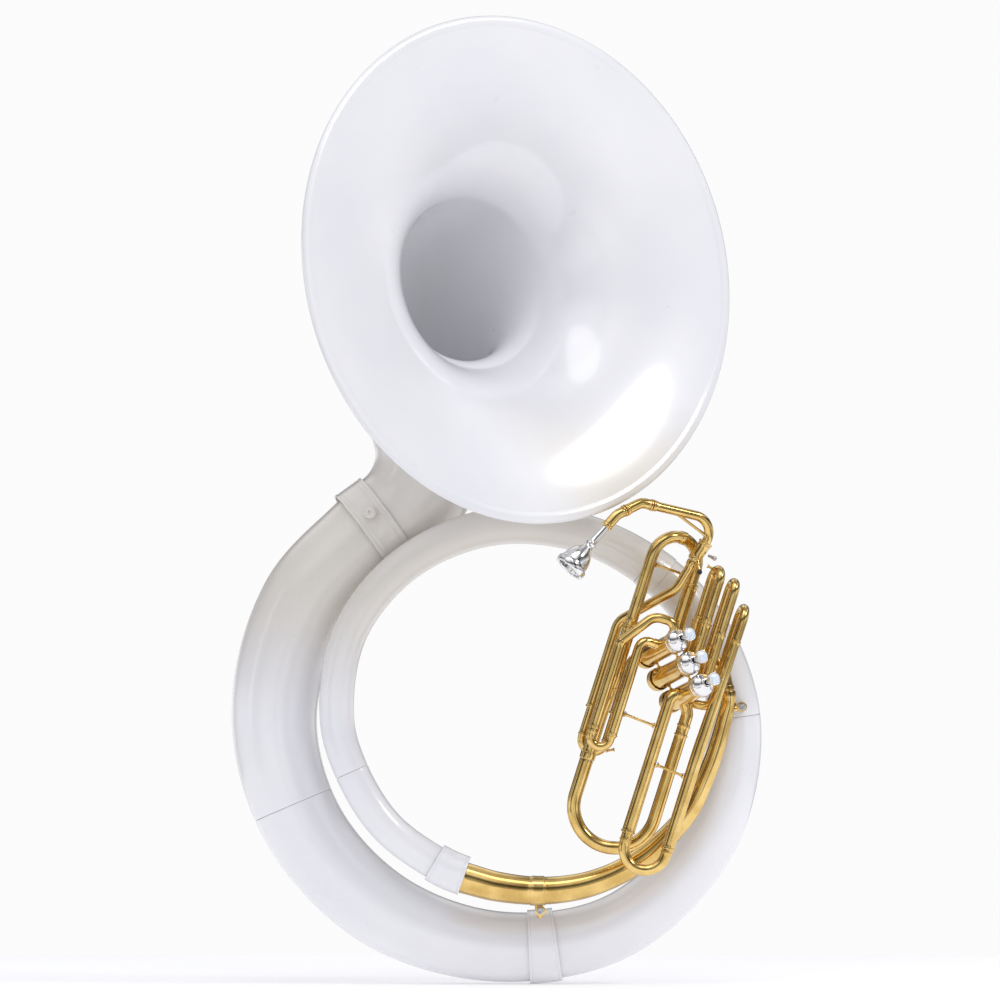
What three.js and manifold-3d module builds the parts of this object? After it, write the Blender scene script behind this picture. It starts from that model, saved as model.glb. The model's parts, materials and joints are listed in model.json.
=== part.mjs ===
// A marching sousaphone: a white shell of wrapped conical tube with a wide bell, and a brass valve section.
// Units are millimetres. +Z is up, -Y is the way the bell looks, and +X is the side that holds the valves.
// The origin is the point under the top of the wrap that rests on the player's shoulder.
import * as THREE from "three";
import { mergeVertices } from "three/addons/utils/BufferGeometryUtils.js";
import Module from "manifold-3d";

const wasm = await Module();
wasm.setup();

// ---- driving dimensions ----
const GAP = 0.3; // clearance between pieces that meet
const SHELL_WALL = 2.4; // moulded white sections
const BRASS_WALL = 0.8; // drawn brass tube

const WRAP_CENTRE = [-25.6, -219.8]; // X and Z of the middle of the wrap

const BELL_RADIUS = 324.5; // the rolled edge makes it a 26 inch bell
const BELL_NECK_RADIUS = 50; // radius that the flare falls towards
const BELL_FLARE = 31.5; // length that sets how fast the flare opens
const BELL_RIM_FLAT = 8; // width of the flat front of the rim
const BELL_TAIL_RADIUS = 60.5; // where the bell enters its collar
const COLLAR_LENGTH = 40;

const SLIDE_TILT = THREE.MathUtils.degToRad(17.5); // lean of all the slides from upright
const CLUSTER_ORIGIN = [182.4, 0, -173.7];

const VALVE_SPACING = 32.5;
const VALVE_ROW_TURN = THREE.MathUtils.degToRad(43.8);
const VALVE_LEAN = THREE.MathUtils.degToRad(58.7);
const VALVE_MIDDLE = [12.5, -60, 16];
const CASING_RADIUS = 13;
const CASING_BORE = 11.7;
const CASING_HALF = 46;
const PISTON_RADIUS = 11.3;
const BUTTON_TRAVEL = 17;

const SMALL_TUBE = 6.2; // outside radius of the valve loops' tube

// ---- materials ----
const finish = (color, roughness, metalness) =>
  new THREE.MeshStandardMaterial({ color, roughness, metalness });
const white = () => finish(0xf4f3f8, 0.18, 0);
const brass = () => finish(0xd8b04c, 0.2, 1);
const silver = () => finish(0xd9d9de, 0.12, 1);
const steel = () => finish(0xb8b8bc, 0.35, 1);

const vector = ([x, y, z]) => new THREE.Vector3(x, y, z);

// ---- routes: a centre line that gives a point and a heading at any length along it ----
class RoundCorner extends THREE.Curve {
  constructor(start, heading, side, radius, turn) {
    super();
    Object.assign(this, { start, heading, side, radius, turn });
  }

  getPoint(t, target = new THREE.Vector3()) {
    const angle = this.turn * t;
    return target
      .copy(this.start)
      .addScaledVector(this.heading, this.radius * Math.sin(angle))
      .addScaledVector(this.side, this.radius * (1 - Math.cos(angle)));
  }

  getTangent(t, target = new THREE.Vector3()) {
    const angle = this.turn * t;
    return target
      .copy(this.heading)
      .multiplyScalar(Math.cos(angle))
      .addScaledVector(this.side, Math.sin(angle));
  }

  getLength() {
    return this.radius * this.turn;
  }
}

// Straight runs with round corners. A corner is [x, y, z, bend radius]; the two ends have no radius.
class Route {
  constructor(corners, cornerStep = 22.5) {
    const points = corners.map(vector);
    this.runs = [];
    this.length = 0;
    let from = points[0];
    for (let i = 1; i < points.length - 1; i += 1) {
      const heading = points[i].clone().sub(points[i - 1]).normalize();
      const leaving = points[i + 1].clone().sub(points[i]).normalize();
      const turn = heading.angleTo(leaving);
      const radius = corners[i][3];
      const reach = radius * Math.tan(turn / 2);
      const start = points[i].clone().addScaledVector(heading, -reach);
      const side = leaving.clone().addScaledVector(heading, -leaving.dot(heading)).normalize();
      this.addRun(new THREE.LineCurve3(from, start), 1);
      const steps = Math.max(2, Math.round(THREE.MathUtils.radToDeg(turn) / cornerStep));
      this.addRun(new RoundCorner(start, heading, side, radius, turn), steps);
      from = points[i].clone().addScaledVector(leaving, reach);
    }
    this.addRun(new THREE.LineCurve3(from, points.at(-1)), 1);
  }

  addRun(curve, steps) {
    const length = curve.getLength();
    if (length < 1e-6) return;
    this.runs.push({ curve, steps, start: this.length, length });
    this.length += length;
  }

  at(distance) {
    const run = this.runs.findLast((r) => r.start <= distance + 1e-9) ?? this.runs[0];
    const t = (distance - run.start) / run.length;
    if (run.curve.isLineCurve3) {
      const heading = run.curve.v2.clone().sub(run.curve.v1).normalize();
      return { point: run.curve.v1.clone().addScaledVector(heading, distance - run.start), heading };
    }
    return { point: run.curve.getPoint(t), heading: run.curve.getTangent(t) };
  }

  stops() {
    const marks = this.runs.flatMap((run) =>
      Array.from({ length: run.steps }, (_, i) => run.start + (run.length * i) / run.steps),
    );
    return [...marks, this.length];
  }
}

// A stretch of any smooth curve, from one fraction of its length to another.
class CurveRoute {
  constructor(curve, from, to, steps) {
    Object.assign(this, { curve, from, to, steps });
    this.length = curve.getLength() * (to - from);
  }

  at(distance) {
    const u = Math.min(1, this.from + ((this.to - this.from) * distance) / this.length);
    return { point: this.curve.getPointAt(u), heading: this.curve.getTangentAt(u) };
  }

  stops() {
    return Array.from({ length: this.steps + 1 }, (_, i) => (this.length * i) / this.steps);
  }
}

// ---- solids ----
function outward(geometry) {
  const index = geometry.index;
  const position = geometry.getAttribute("position");
  const [a, b, c] = [new THREE.Vector3(), new THREE.Vector3(), new THREE.Vector3()];
  let volume = 0;
  for (let i = 0; i < index.count; i += 3) {
    a.fromBufferAttribute(position, index.getX(i));
    b.fromBufferAttribute(position, index.getX(i + 1));
    c.fromBufferAttribute(position, index.getX(i + 2));
    volume += a.dot(b.cross(c));
  }
  if (volume < 0) index.array.reverse();
  geometry.computeVertexNormals();
  return geometry;
}

// Turns a profile of [radius, distance] points about a route, as a lathe turns one about a straight axis.
function turnAlong(route, profile, sides) {
  const outline = profile.map(([radius, distance]) => new THREE.Vector2(radius, distance));
  const geometry = new THREE.LatheGeometry(outline, sides);
  const order = profile.map((_, j) => j).sort((i, j) => profile[i][1] - profile[j][1]);
  const frames = [];
  let last = null;
  for (const j of order) {
    const { point, heading } = route.at(profile[j][1]);
    if (!last) {
      const across = Math.abs(heading.y) < 0.9 ? new THREE.Vector3(0, 1, 0) : new THREE.Vector3(1, 0, 0);
      across.addScaledVector(heading, -across.dot(heading)).normalize();
      last = { heading, across };
    }
    const swing = new THREE.Quaternion().setFromUnitVectors(last.heading, heading);
    const across = last.across.clone().applyQuaternion(swing);
    last = { heading, across };
    frames[j] = { point, across, other: heading.clone().cross(across) };
  }
  const position = geometry.getAttribute("position");
  for (let i = 0; i < position.count; i += 1) {
    const frame = frames[i % profile.length];
    const place = frame.point
      .clone()
      .addScaledVector(frame.across, position.getX(i))
      .addScaledVector(frame.other, position.getZ(i));
    position.setXYZ(i, place.x, place.y, place.z);
  }
  return outward(geometry);
}

const lerpAt = (knots, distance) => {
  const next = knots.findIndex(([at]) => at >= distance);
  if (next <= 0) return knots[next < 0 ? knots.length - 1 : 0][1];
  const [[d0, r0], [d1, r1]] = [knots[next - 1], knots[next]];
  return r0 + ((r1 - r0) * (distance - d0)) / (d1 - d0 || 1);
};

// An open-ended tube. radii are [start, end] or [distance, radius] knots;
// bands are raised rings [start, length, height].
function tube(route, { radii, wall = BRASS_WALL, bands = [], sides = 8 }) {
  const straight = radii[0].length ? radii : [[0, radii[0]], [route.length, radii[1]]];
  const bandEdges = bands.flatMap(([at, length, height]) => {
    const start = at < 0 ? route.length + at : at;
    const end = Math.min(start + length, route.length);
    return [
      [start, 0],
      [start, height],
      [end, height],
      [end, 0],
    ];
  });
  const inBand = (distance) =>
    bandEdges.some(([at], i) => i % 4 === 0 && distance > at - 0.5 && distance < bandEdges[i + 3][0] + 0.5);
  const marks = [...new Set([...route.stops(), ...straight.map(([distance]) => distance)])].sort((a, b) => a - b);
  const plain = marks
    .filter((distance) => !inBand(distance))
    .map((distance) => [lerpAt(straight, distance), distance]);
  const raised = bandEdges.map(([distance, height]) => [lerpAt(straight, distance) + height, distance]);
  const keyed = [...plain.map((p) => [p, 1]), ...raised.map((p, i) => [p, i / 1000])];
  keyed.sort(([p, i], [q, j]) => p[1] - q[1] || i - j);
  const apart = ([r, d], [q, e]) => Math.hypot(r - q, d - e) > 1e-6;
  const outer = keyed.map(([p]) => p).filter((p, i, all) => i === 0 || apart(p, all[i - 1]));
  const inner = marks.map((distance) => [lerpAt(straight, distance) - wall, distance]);
  const profile = [...outer, ...inner.reverse()];
  return turnAlong(route, [...profile, profile[0]], sides);
}

// A round solid turned about Z from a closed profile of [radius, z] points.
function turned(profile, sides = 16) {
  const outline = profile.map(([radius, z]) => new THREE.Vector2(radius, z));
  const onAxis = profile[0][0] === 0 && profile.at(-1)[0] === 0;
  if (!onAxis) outline.push(outline[0].clone());
  return outward(new THREE.LatheGeometry(outline, sides).rotateX(Math.PI / 2));
}

function solidOf(geometry) {
  const bare = geometry.clone();
  bare.deleteAttribute("normal");
  bare.deleteAttribute("uv");
  const merged = mergeVertices(bare, 1e-4);
  return new wasm.Manifold(
    new wasm.Mesh({
      numProp: 3,
      vertProperties: merged.getAttribute("position").array,
      triVerts: new Uint32Array(merged.index.array),
    }),
  );
}

function geometryOf(solid) {
  const { vertProperties, triVerts } = solid.getMesh();
  const geometry = new THREE.BufferGeometry();
  geometry.setAttribute("position", new THREE.BufferAttribute(vertProperties, 3));
  geometry.setIndex(new THREE.BufferAttribute(triVerts, 1));
  geometry.computeVertexNormals();
  return geometry;
}

const cut = (geometry, ...cutters) =>
  geometryOf(cutters.reduce((solid, cutter) => solid.subtract(solidOf(cutter)), solidOf(geometry)));
const join = (geometry, ...others) =>
  geometryOf(others.reduce((solid, other) => solid.add(solidOf(other)), solidOf(geometry)));

// A round bar from one point to another, widened to a foot at each end.
function rod(from, to, radius, foot = radius, footLength = 2, sides = 8) {
  const [start, end] = [vector(from), vector(to)];
  const length = start.distanceTo(end);
  const profile = [
    [0, 0],
    [foot, 0],
    [radius, footLength],
    [radius, length - footLength],
    [foot, length],
    [0, length],
  ];
  const aim = new THREE.Quaternion().setFromUnitVectors(
    new THREE.Vector3(0, 0, 1),
    end.clone().sub(start).normalize(),
  );
  return turned(profile, sides).applyQuaternion(aim).translate(...from);
}

function addTo(group, name, material, geometry) {
  const mesh = new THREE.Mesh(geometry, material);
  mesh.name = name;
  group.add(mesh);
  return mesh;
}

const sousaphone = new THREE.Group();

// ---- the white wrap ----
// Each station is [angle round the wrap in degrees, radius of the centre line, y, tube radius].
// The air goes from the brass branch up the inner left side, over the shoulder, down the right side,
// under the bottom and up the outer left side to the bell.
const WRAP_STATIONS = [
  [262, 211, -20, 21.4],
  [250, 205, -20, 21.8],
  [225, 200, -20, 21.8],
  [200, 199.5, -19, 22],
  [180, 205.5, -17, 22.2],
  [150, 217, -14, 22.4],
  [120, 228, -10, 22.8],
  [90, 243, 0, 24],
  [60, 261, 12, 25.4],
  [30, 284, 25, 29],
  [0, 303, 36, 34.2],
  [-30, 312, 41, 38.6],
  [-60, 311, 42, 41.8],
  [-90, 296, 42, 45],
  [-120, 289, 42, 50.5],
  [-150, 286, 44, 52.6],
  [-180, 286.5, 48, 55],
  [-210, 285, 56, 59],
  [-236, 283, 65, 62],
];
const wrapPoint = ([angle, radius, y]) => {
  const turn = THREE.MathUtils.degToRad(angle);
  return new THREE.Vector3(
    WRAP_CENTRE[0] + radius * Math.cos(turn),
    y,
    WRAP_CENTRE[1] + radius * Math.sin(turn),
  );
};
const wrapLine = new THREE.CatmullRomCurve3(WRAP_STATIONS.map(wrapPoint));
wrapLine.arcLengthDivisions = 800;
const wrapLengths = wrapLine.getLengths();
const stationAt = (angle) => {
  const next = Math.max(1, WRAP_STATIONS.findIndex(([a]) => a <= angle));
  const [before, after] = [WRAP_STATIONS[next - 1], WRAP_STATIONS[next]];
  return next - 1 + (before[0] - angle) / (before[0] - after[0]);
};
const fractionAt = (angle) => {
  const t = stationAt(angle) / (WRAP_STATIONS.length - 1);
  const place = t * (wrapLengths.length - 1);
  const low = Math.min(Math.floor(place), wrapLengths.length - 2);
  const length = wrapLengths[low] + (wrapLengths[low + 1] - wrapLengths[low]) * (place - low);
  return length / wrapLengths.at(-1);
};
const wrapRadius = (angle) => {
  const place = stationAt(angle);
  const low = Math.min(Math.floor(place), WRAP_STATIONS.length - 2);
  return WRAP_STATIONS[low][3] + (WRAP_STATIONS[low + 1][3] - WRAP_STATIONS[low][3]) * (place - low);
};
const WRAP_LENGTH = wrapLengths.at(-1);
const wrapSection = (name, from, to, options = {}) => {
  const half = GAP / 2 / WRAP_LENGTH;
  const steps = Math.max(2, Math.round((from - to) / 13));
  const route = new CurveRoute(wrapLine, fractionAt(from) + half, fractionAt(to) - half, steps);
  const radii = [wrapRadius(from), wrapRadius(to)];
  const settings = { radii, wall: SHELL_WALL, sides: 16, ...options };
  return addTo(sousaphone, name, white(), tube(route, settings));
};
// Joints between sections, as angles round the wrap.
const JOINT = { ferrule: 257.4, innerLeft: 201, shoulder: 46, right: 0, bottom: -79, left: -156.5, collar: -235.4 };
wrapSection("inner_left_section", JOINT.ferrule, JOINT.innerLeft, { sides: 12 });
wrapSection("shoulder_section", JOINT.innerLeft, JOINT.shoulder, { sides: 12 });
wrapSection("upper_right_section", JOINT.shoulder, JOINT.right, { bands: [[0.6, 26, 1]], sides: 14 });
wrapSection("lower_right_section", JOINT.right, JOINT.bottom);
wrapSection("lower_left_section", JOINT.bottom, JOINT.left);
wrapSection("upper_left_section", JOINT.left, JOINT.collar);

// A sleeve hides the glued joint under the wrap.
function wrapSleeve(name, middle, length, clearance, wall, material) {
  const half = length / 2 / WRAP_LENGTH;
  const centre = fractionAt(middle);
  const route = new CurveRoute(wrapLine, centre - half, centre + half, 2);
  const radius = wrapRadius(middle) + clearance + wall;
  return addTo(sousaphone, name, material, tube(route, { radii: [radius, radius], wall, sides: 16 }));
}
wrapSleeve("bottom_sleeve", JOINT.bottom, 37, 1.6, 2, white());
wrapSleeve("inner_tube_ferrule", JOINT.ferrule - 5.2, 42, 2, 2, white());

// ---- the bell ----
const bellEnd = wrapPoint(WRAP_STATIONS.at(-1));
const BELL_RIM_CENTRE = [1.3, -123.5, 351];
const BELL_CORNER = [-142.1, 86, 310.9];
const NECK_CORNER = [-103.9, 72, 72.7];
const bellRoute = new Route(
  [BELL_RIM_CENTRE, [...BELL_CORNER, 150], [...NECK_CORNER, 110], bellEnd.toArray()],
  18,
);
const flareRadius = (distance) =>
  BELL_NECK_RADIUS + (BELL_RADIUS - BELL_NECK_RADIUS) / (1 + distance / BELL_FLARE);
const bellTaper = flareRadius(bellRoute.length) - BELL_TAIL_RADIUS;
const bellRadius = (distance) => flareRadius(distance) - bellTaper * (distance / bellRoute.length) ** 2;
const bellStops = [2, 6, 12, 21, 33, 50, 72, ...bellRoute.stops().filter((s) => s > 90)];
const bellSlope = (distance) => (bellRadius(distance + 0.1) - bellRadius(distance)) / 0.1;
const bellBack = (distance) => {
  const slope = bellSlope(distance);
  const size = Math.hypot(1, slope);
  return [bellRadius(distance) + SHELL_WALL / size, distance - (SHELL_WALL * slope) / size];
};
const bellTail = bellRoute.length - 9;
const bellInner = bellStops.filter((s) => s < bellTail - 3).map((s) => [bellRadius(s), s]);
const bellOuter = bellStops.filter((s) => s < bellTail - 6).map(bellBack);
const bellProfile = [
  [BELL_RADIUS, 0],
  [BELL_RADIUS - BELL_RIM_FLAT, 0],
  ...bellInner,
  [bellRadius(bellTail), bellTail],
  [bellRadius(bellTail) + SHELL_WALL, bellTail],
  ...bellOuter.reverse(),
  [BELL_RADIUS - 2, 6.5],
  [BELL_RADIUS + 2, 6],
  [BELL_RADIUS + 3.5, 3],
  [BELL_RADIUS + 2, 0.6],
];
addTo(sousaphone, "bell", white(), turnAlong(bellRoute, [...bellProfile, bellProfile[0]], 32));

// The collar is fixed to the end of the wrap, and the bell's tail turns in it.
const bellHeading = vector(NECK_CORNER).sub(bellEnd).normalize();
const alongNeck = (distance) => bellEnd.clone().addScaledVector(bellHeading, distance);
const COLLAR_RADIUS = 67.4;
const collarRoute = new Route([alongNeck(-14).toArray(), alongNeck(COLLAR_LENGTH - 14).toArray()]);
const collarBands = [
  [0, 4, 0.4],
  [COLLAR_LENGTH - 4, 4, 0.4],
];
const collarShape = { radii: [COLLAR_RADIUS, COLLAR_RADIUS], wall: 2, bands: collarBands, sides: 24 };
addTo(sousaphone, "bell_collar", white(), tube(collarRoute, collarShape));

// A thumb screw clamps the bell at the front of the collar.
const SCREW_SWING = THREE.MathUtils.degToRad(-18);
const screwOut = new THREE.Vector3(0, -1, 0)
  .addScaledVector(bellHeading, bellHeading.y)
  .normalize()
  .applyAxisAngle(bellHeading, SCREW_SWING);
const bellScrew = turned(
  [
    [0, 0],
    [3, 0],
    [3, 3],
    [7.5, 3],
    [8, 5],
    [8, 10],
    [6, 12.5],
    [0, 12.5],
  ],
  12,
);
const screwFoot = alongNeck(6).addScaledVector(screwOut, COLLAR_RADIUS + GAP);
const aimZ = (direction) => new THREE.Quaternion().setFromUnitVectors(new THREE.Vector3(0, 0, 1), direction);
bellScrew.applyQuaternion(aimZ(screwOut)).translate(...screwFoot.toArray());
addTo(sousaphone, "bell_screw", white(), bellScrew);

// ---- the valve cluster, upright in its own leaning frame ----
const cluster = new THREE.Group();
cluster.position.set(...CLUSTER_ORIGIN);
cluster.rotation.y = SLIDE_TILT;
sousaphone.add(cluster);

const valveBlock = new THREE.Group();
valveBlock.position.set(...VALVE_MIDDLE);
valveBlock.rotation.set(VALVE_LEAN, VALVE_ROW_TURN, 0, "YXZ");
cluster.add(valveBlock);
valveBlock.updateMatrix();

const valveX = (number) => (number - 2) * VALVE_SPACING;
const casing = () =>
  turned([
    [CASING_BORE, -CASING_HALF],
    [CASING_RADIUS, -CASING_HALF],
    [CASING_RADIUS, CASING_HALF],
    [CASING_BORE, CASING_HALF],
  ]);
const CAP_RADIUS = 14.8;
const CAP_SKIRT = 8;
const capInside = CASING_RADIUS + 0.6;
const topCap = () =>
  turned([
    [capInside, CASING_HALF - CAP_SKIRT],
    [CAP_RADIUS, CASING_HALF - CAP_SKIRT],
    [CAP_RADIUS, CASING_HALF + 1],
    [12.5, CASING_HALF + 5],
    [8, CASING_HALF + 8],
    [6, CASING_HALF + 11.5],
    [3.4, CASING_HALF + 11.5],
    [3.4, CASING_HALF + 5],
    [capInside, CASING_HALF + GAP],
  ], 12);
const bottomCap = () =>
  turned([
    [capInside, CAP_SKIRT - CASING_HALF],
    [capInside, -CASING_HALF - GAP],
    [1.5, -CASING_HALF - 1.5],
    [1.5, -CASING_HALF - 4],
    [9, -CASING_HALF - 4],
    [13.5, -CASING_HALF - 2.5],
    [CAP_RADIUS, -CASING_HALF],
    [CAP_RADIUS, CAP_SKIRT - CASING_HALF],
  ], 12);
const PISTON_TOP = 40;
const PISTON_FOOT = -22;
const piston = () =>
  turned(
    [
      [0, PISTON_TOP],
      [PISTON_RADIUS, PISTON_TOP],
      [PISTON_RADIUS, PISTON_FOOT],
      [8.6, PISTON_FOOT],
      [8.6, PISTON_FOOT + 16],
      [0, PISTON_FOOT + 16],
    ],
    12,
  );
const BUTTON_UNDER = CASING_HALF + 12 + BUTTON_TRAVEL;
const fingerButton = () =>
  turned(
    [
      [0, PISTON_TOP + GAP],
      [2.4, PISTON_TOP + GAP],
      [2.4, BUTTON_UNDER],
      [7.2, BUTTON_UNDER],
      [8.4, BUTTON_UNDER + 1.5],
      [8.4, BUTTON_UNDER + 4],
      [7, BUTTON_UNDER + 5],
      [0, BUTTON_UNDER + 4.2],
    ],
    12,
  );

class Helix extends THREE.Curve {
  constructor(radius, low, high, turns) {
    super();
    Object.assign(this, { radius, low, high, turns });
  }

  getPoint(t, target = new THREE.Vector3()) {
    const angle = t * this.turns * 2 * Math.PI;
    const z = this.low + (this.high - this.low) * t;
    return target.set(this.radius * Math.cos(angle), this.radius * Math.sin(angle), z);
  }
}
const springWire = new THREE.Shape([
  new THREE.Vector2(-0.6, 0),
  new THREE.Vector2(0, -0.6),
  new THREE.Vector2(0.6, 0),
  new THREE.Vector2(0, 0.6),
]);
const SPRING_LOW = 0.8 - CASING_HALF;
const springCurve = () => new Helix(6.8, SPRING_LOW, SPRING_LOW + 19, 5);
const spring = () =>
  new THREE.ExtrudeGeometry(springWire, { steps: 32, extrudePath: springCurve() });

for (const number of [1, 2, 3]) {
  const pieces = {
    valve_casing: [brass(), casing()],
    top_cap: [silver(), topCap()],
    bottom_cap: [brass(), bottomCap()],
    piston: [steel(), piston()],
    piston_spring: [steel(), spring()],
    finger_button: [silver(), fingerButton()],
  };
  for (const [name, [material, geometry]] of Object.entries(pieces)) {
    geometry.translate(valveX(number), 0, 0);
    addTo(valveBlock, `${name}_${number}`, material, geometry);
  }
}

// Tubes that reach a valve stop at its casing, and end on its axis before they are trimmed.
const trimShape = (number) =>
  turned(
    [
      [0, -CASING_HALF - 5],
      [CAP_RADIUS + GAP, -CASING_HALF - 5],
      [CAP_RADIUS + GAP, CAP_SKIRT - CASING_HALF + GAP],
      [capInside, CAP_SKIRT - CASING_HALF + GAP],
      [capInside, CASING_HALF - CAP_SKIRT - GAP],
      [CAP_RADIUS + GAP, CASING_HALF - CAP_SKIRT - GAP],
      [CAP_RADIUS + GAP, CASING_HALF + 12],
      [0, CASING_HALF + 12],
    ],
    16,
  )
    .translate(valveX(number), 0, 0)
    .applyMatrix4(valveBlock.matrix);
const onValve = (number, height) =>
  new THREE.Vector3(valveX(number), 0, height).applyMatrix4(valveBlock.matrix).toArray();

const pipe = (name, corners, options, ...valves) => {
  const geometry = tube(new Route(corners, 30), options);
  const shape = valves.length ? cut(geometry, ...valves.map(trimShape)) : geometry;
  return addTo(cluster, name, brass(), shape);
};

// ---- mouthpiece, bits and neck ----
const RECEIVER_TOP = [2.6, -58, 186];
const RECEIVER_FOOT = [-5.6, -57, 158.5];
const between = (from, to, part) => vector(from).lerp(vector(to), part).toArray();
const NECK_START = [-76.5, -87, 210.2];
const NECK_BEND = between(RECEIVER_TOP, RECEIVER_FOOT, -1.12);
const BIT_BEND = between(NECK_START, NECK_BEND, -0.17);
const BIT_START = [-125.5, -112, 165.5];
const BIT_CORNER = [-116.5, -107, 185.3];
const BIT_JOINT = between(BIT_CORNER, BIT_BEND, 0.345);
const MOUTHPIECE_SHOWN = 73.5;

// A bit is a bent tube with a thin tail that goes into the next one, and a ferrule at its open end.
const bitShape = (body, whole) => ({
  radii: [
    [0, 5.7],
    [body, 5.7],
    [body + 1, 4.6],
    [whole, 4.5],
  ],
  bands: [
    [0, 4, 1.8],
    [5, body - 7.5, 1.1],
    [body - 2, 2, 2],
  ],
  sides: 10,
});
const bit = (name, start, corner, joint, bend) => {
  const bodyRoute = new Route([start, [...corner, bend], joint]);
  const reach = vector(joint).distanceTo(vector(corner));
  const tail = between(corner, joint, 1 + 9 / reach);
  const route = new Route([start, [...corner, bend], tail]);
  addTo(cluster, name, brass(), tube(route, bitShape(bodyRoute.length - 1.3, route.length)));
};
bit("tuning_bit_1", BIT_START, BIT_CORNER, BIT_JOINT, 14);
bit("tuning_bit_2", BIT_JOINT, BIT_BEND, NECK_START, 12);

const neckTail = between(RECEIVER_TOP, RECEIVER_FOOT, 0.55);
const neckTube = tube(new Route([NECK_START, [...NECK_BEND, 24], neckTail], 30), {
  radii: [6, 6.2],
  bands: [[0, 5, 0.9]],
  sides: 10,
});
const neckBrace = rod(between(NECK_START, NECK_BEND, 0.28), between(NECK_BEND, RECEIVER_TOP, 0.8), 1.8);
const neckBore = turnAlong(
  new Route([NECK_START, [...NECK_BEND, 24], neckTail], 30),
  [[0, 1], [5.6, 1], [5.6, 100], [0, 100]],
  10,
);
addTo(cluster, "neck", brass(), join(neckTube, cut(neckBrace, neckBore)));
pipe("neck_receiver", [RECEIVER_TOP, RECEIVER_FOOT], {
  radii: [8.2, 8.2],
  wall: 1,
  bands: [
    [0, 3, 0.9],
    [24, 3, 0.9],
  ],
  sides: 10,
});
const screwStart = [10.4, -59, 170.5];
const neckScrew = join(
  rod(screwStart, [18, -61.5, 169.5], 1.8, 1.8, 2, 8),
  new THREE.SphereGeometry(3, 8, 6).translate(19, -61.8, 169.4),
);
addTo(cluster, "neck_screw", steel(), neckScrew);

const mouthpieceAxis = vector(BIT_CORNER).sub(vector(BIT_START)).normalize();
const rimMiddle = vector(BIT_START).addScaledVector(mouthpieceAxis, -MOUTHPIECE_SHOWN);
const mouthpiece = turned(
  [
    [16.2, 1.5],
    [18.4, 0],
    [21, 1.8],
    [21.2, 8],
    [18.5, 12],
    [17, 20],
    [13, 29],
    [8, 36],
    [6, 41],
    [7.4, 44],
    [5.6, 47],
    [5.1, 52],
    [4.5, 72],
    [4.3, 86],
    [3.5, 86],
    [3.5, 44],
    [4, 38],
    [9, 29],
    [13, 20],
    [15.6, 9],
  ],
  16,
);
mouthpiece.applyQuaternion(aimZ(mouthpieceAxis)).translate(...rimMiddle.toArray());
addTo(cluster, "mouthpiece", silver(), mouthpiece);

// ---- leadpipe, its slide, and the tube back to the first valve ----
const LEAD_Y = -30;
const LEAD_X = [-73.5, -42.5];
const LEAD_LEG = 5.8;
const LEAD_SLEEVE = LEAD_LEG + 1.2;
const leadBend = (LEAD_X[1] - LEAD_X[0]) / 2 - 0.1;
pipe(
  "leadpipe",
  [between(RECEIVER_TOP, RECEIVER_FOOT, 1.02), [-15.5, -55, 117, 30], [LEAD_X[0], LEAD_Y, 56, 24], [LEAD_X[0], LEAD_Y, -60]],
  { radii: [6.1, LEAD_SLEEVE], bands: [[-3, 3, 0.9]] },
);
const uBend = ([x0, x1], [y0, y1], legEnd, low, bend) => [
  [x0, y0, legEnd],
  [x0, y0, low, bend],
  [x1, y1, low, bend],
  [x1, y1, legEnd],
];
const withKnob = (geometry, from, to) => join(geometry, rod(from, to, 1.6, 2.6, 2, 6));
const leadBow = tube(new Route(uBend(LEAD_X, [LEAD_Y, LEAD_Y], -20, -113.5, leadBend), 30), {
  radii: [LEAD_LEG, LEAD_LEG],
});
addTo(cluster, "lead_slide", brass(), withKnob(leadBow, [-39, LEAD_Y, -107], [-29, LEAD_Y, -102]));
pipe(
  "lead_return",
  [[LEAD_X[1], LEAD_Y, -60], [LEAD_X[1], LEAD_Y, 16, 14], onValve(1, -29)],
  { radii: [LEAD_SLEEVE, 6.6], bands: [[0.5, 3, 0.9]] },
  1,
);

// ---- main tuning slide and the tube down to the lower bow ----
const TUNING_LEG = 7.7;
const TUNING_SLEEVE = TUNING_LEG + 1.2;
const TUNING_X = [-58, 0.7];
const TUNING_Y = [-64, -32];
const tuningBend = Math.hypot(TUNING_X[1] - TUNING_X[0], TUNING_Y[1] - TUNING_Y[0]) / 2 - 0.1;
const TUNING_TOP = 182;
const tuningCorners = [
  [TUNING_X[0], TUNING_Y[0], 0],
  [TUNING_X[0], TUNING_Y[0], TUNING_TOP, tuningBend],
  [TUNING_X[1], TUNING_Y[1], TUNING_TOP, tuningBend],
  [TUNING_X[1], TUNING_Y[1], 76],
];
const tuningRoute = new Route(tuningCorners);
const tuningBow = tube(tuningRoute, { radii: [TUNING_LEG, TUNING_LEG], bands: [[201, 5, 0.8]], sides: 10 });
addTo(cluster, "tuning_slide", brass(), tuningBow);
addTo(
  cluster,
  "tuning_slide_brace",
  brass(),
  rod([-50.4, -60, 139], [-7.2, -36, 138], 1.7, 3.4, 8, 6),
);
const LOW_Y = -50;
const LOW_LEFT = -59.5;
pipe(
  "tuning_sleeve",
  [
    [TUNING_X[0], TUNING_Y[0], 57],
    [TUNING_X[0], TUNING_Y[0], -15, 50],
    [LOW_LEFT, LOW_Y, -72, 50],
    [LOW_LEFT, LOW_Y, -124],
  ],
  {
    radii: [TUNING_SLEEVE, TUNING_SLEEVE],
    bands: [
      [0, 2.5, 1.4],
      [4.5, 2.5, 1.4],
      [-8, 8, 1.2],
    ],
    sides: 10,
  },
);
const LOW_RIGHT = 45.9;
const lowBend = (LOW_RIGHT - LOW_LEFT) / 2 - 0.1;
const LOW_BOTTOM = -224;
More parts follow.
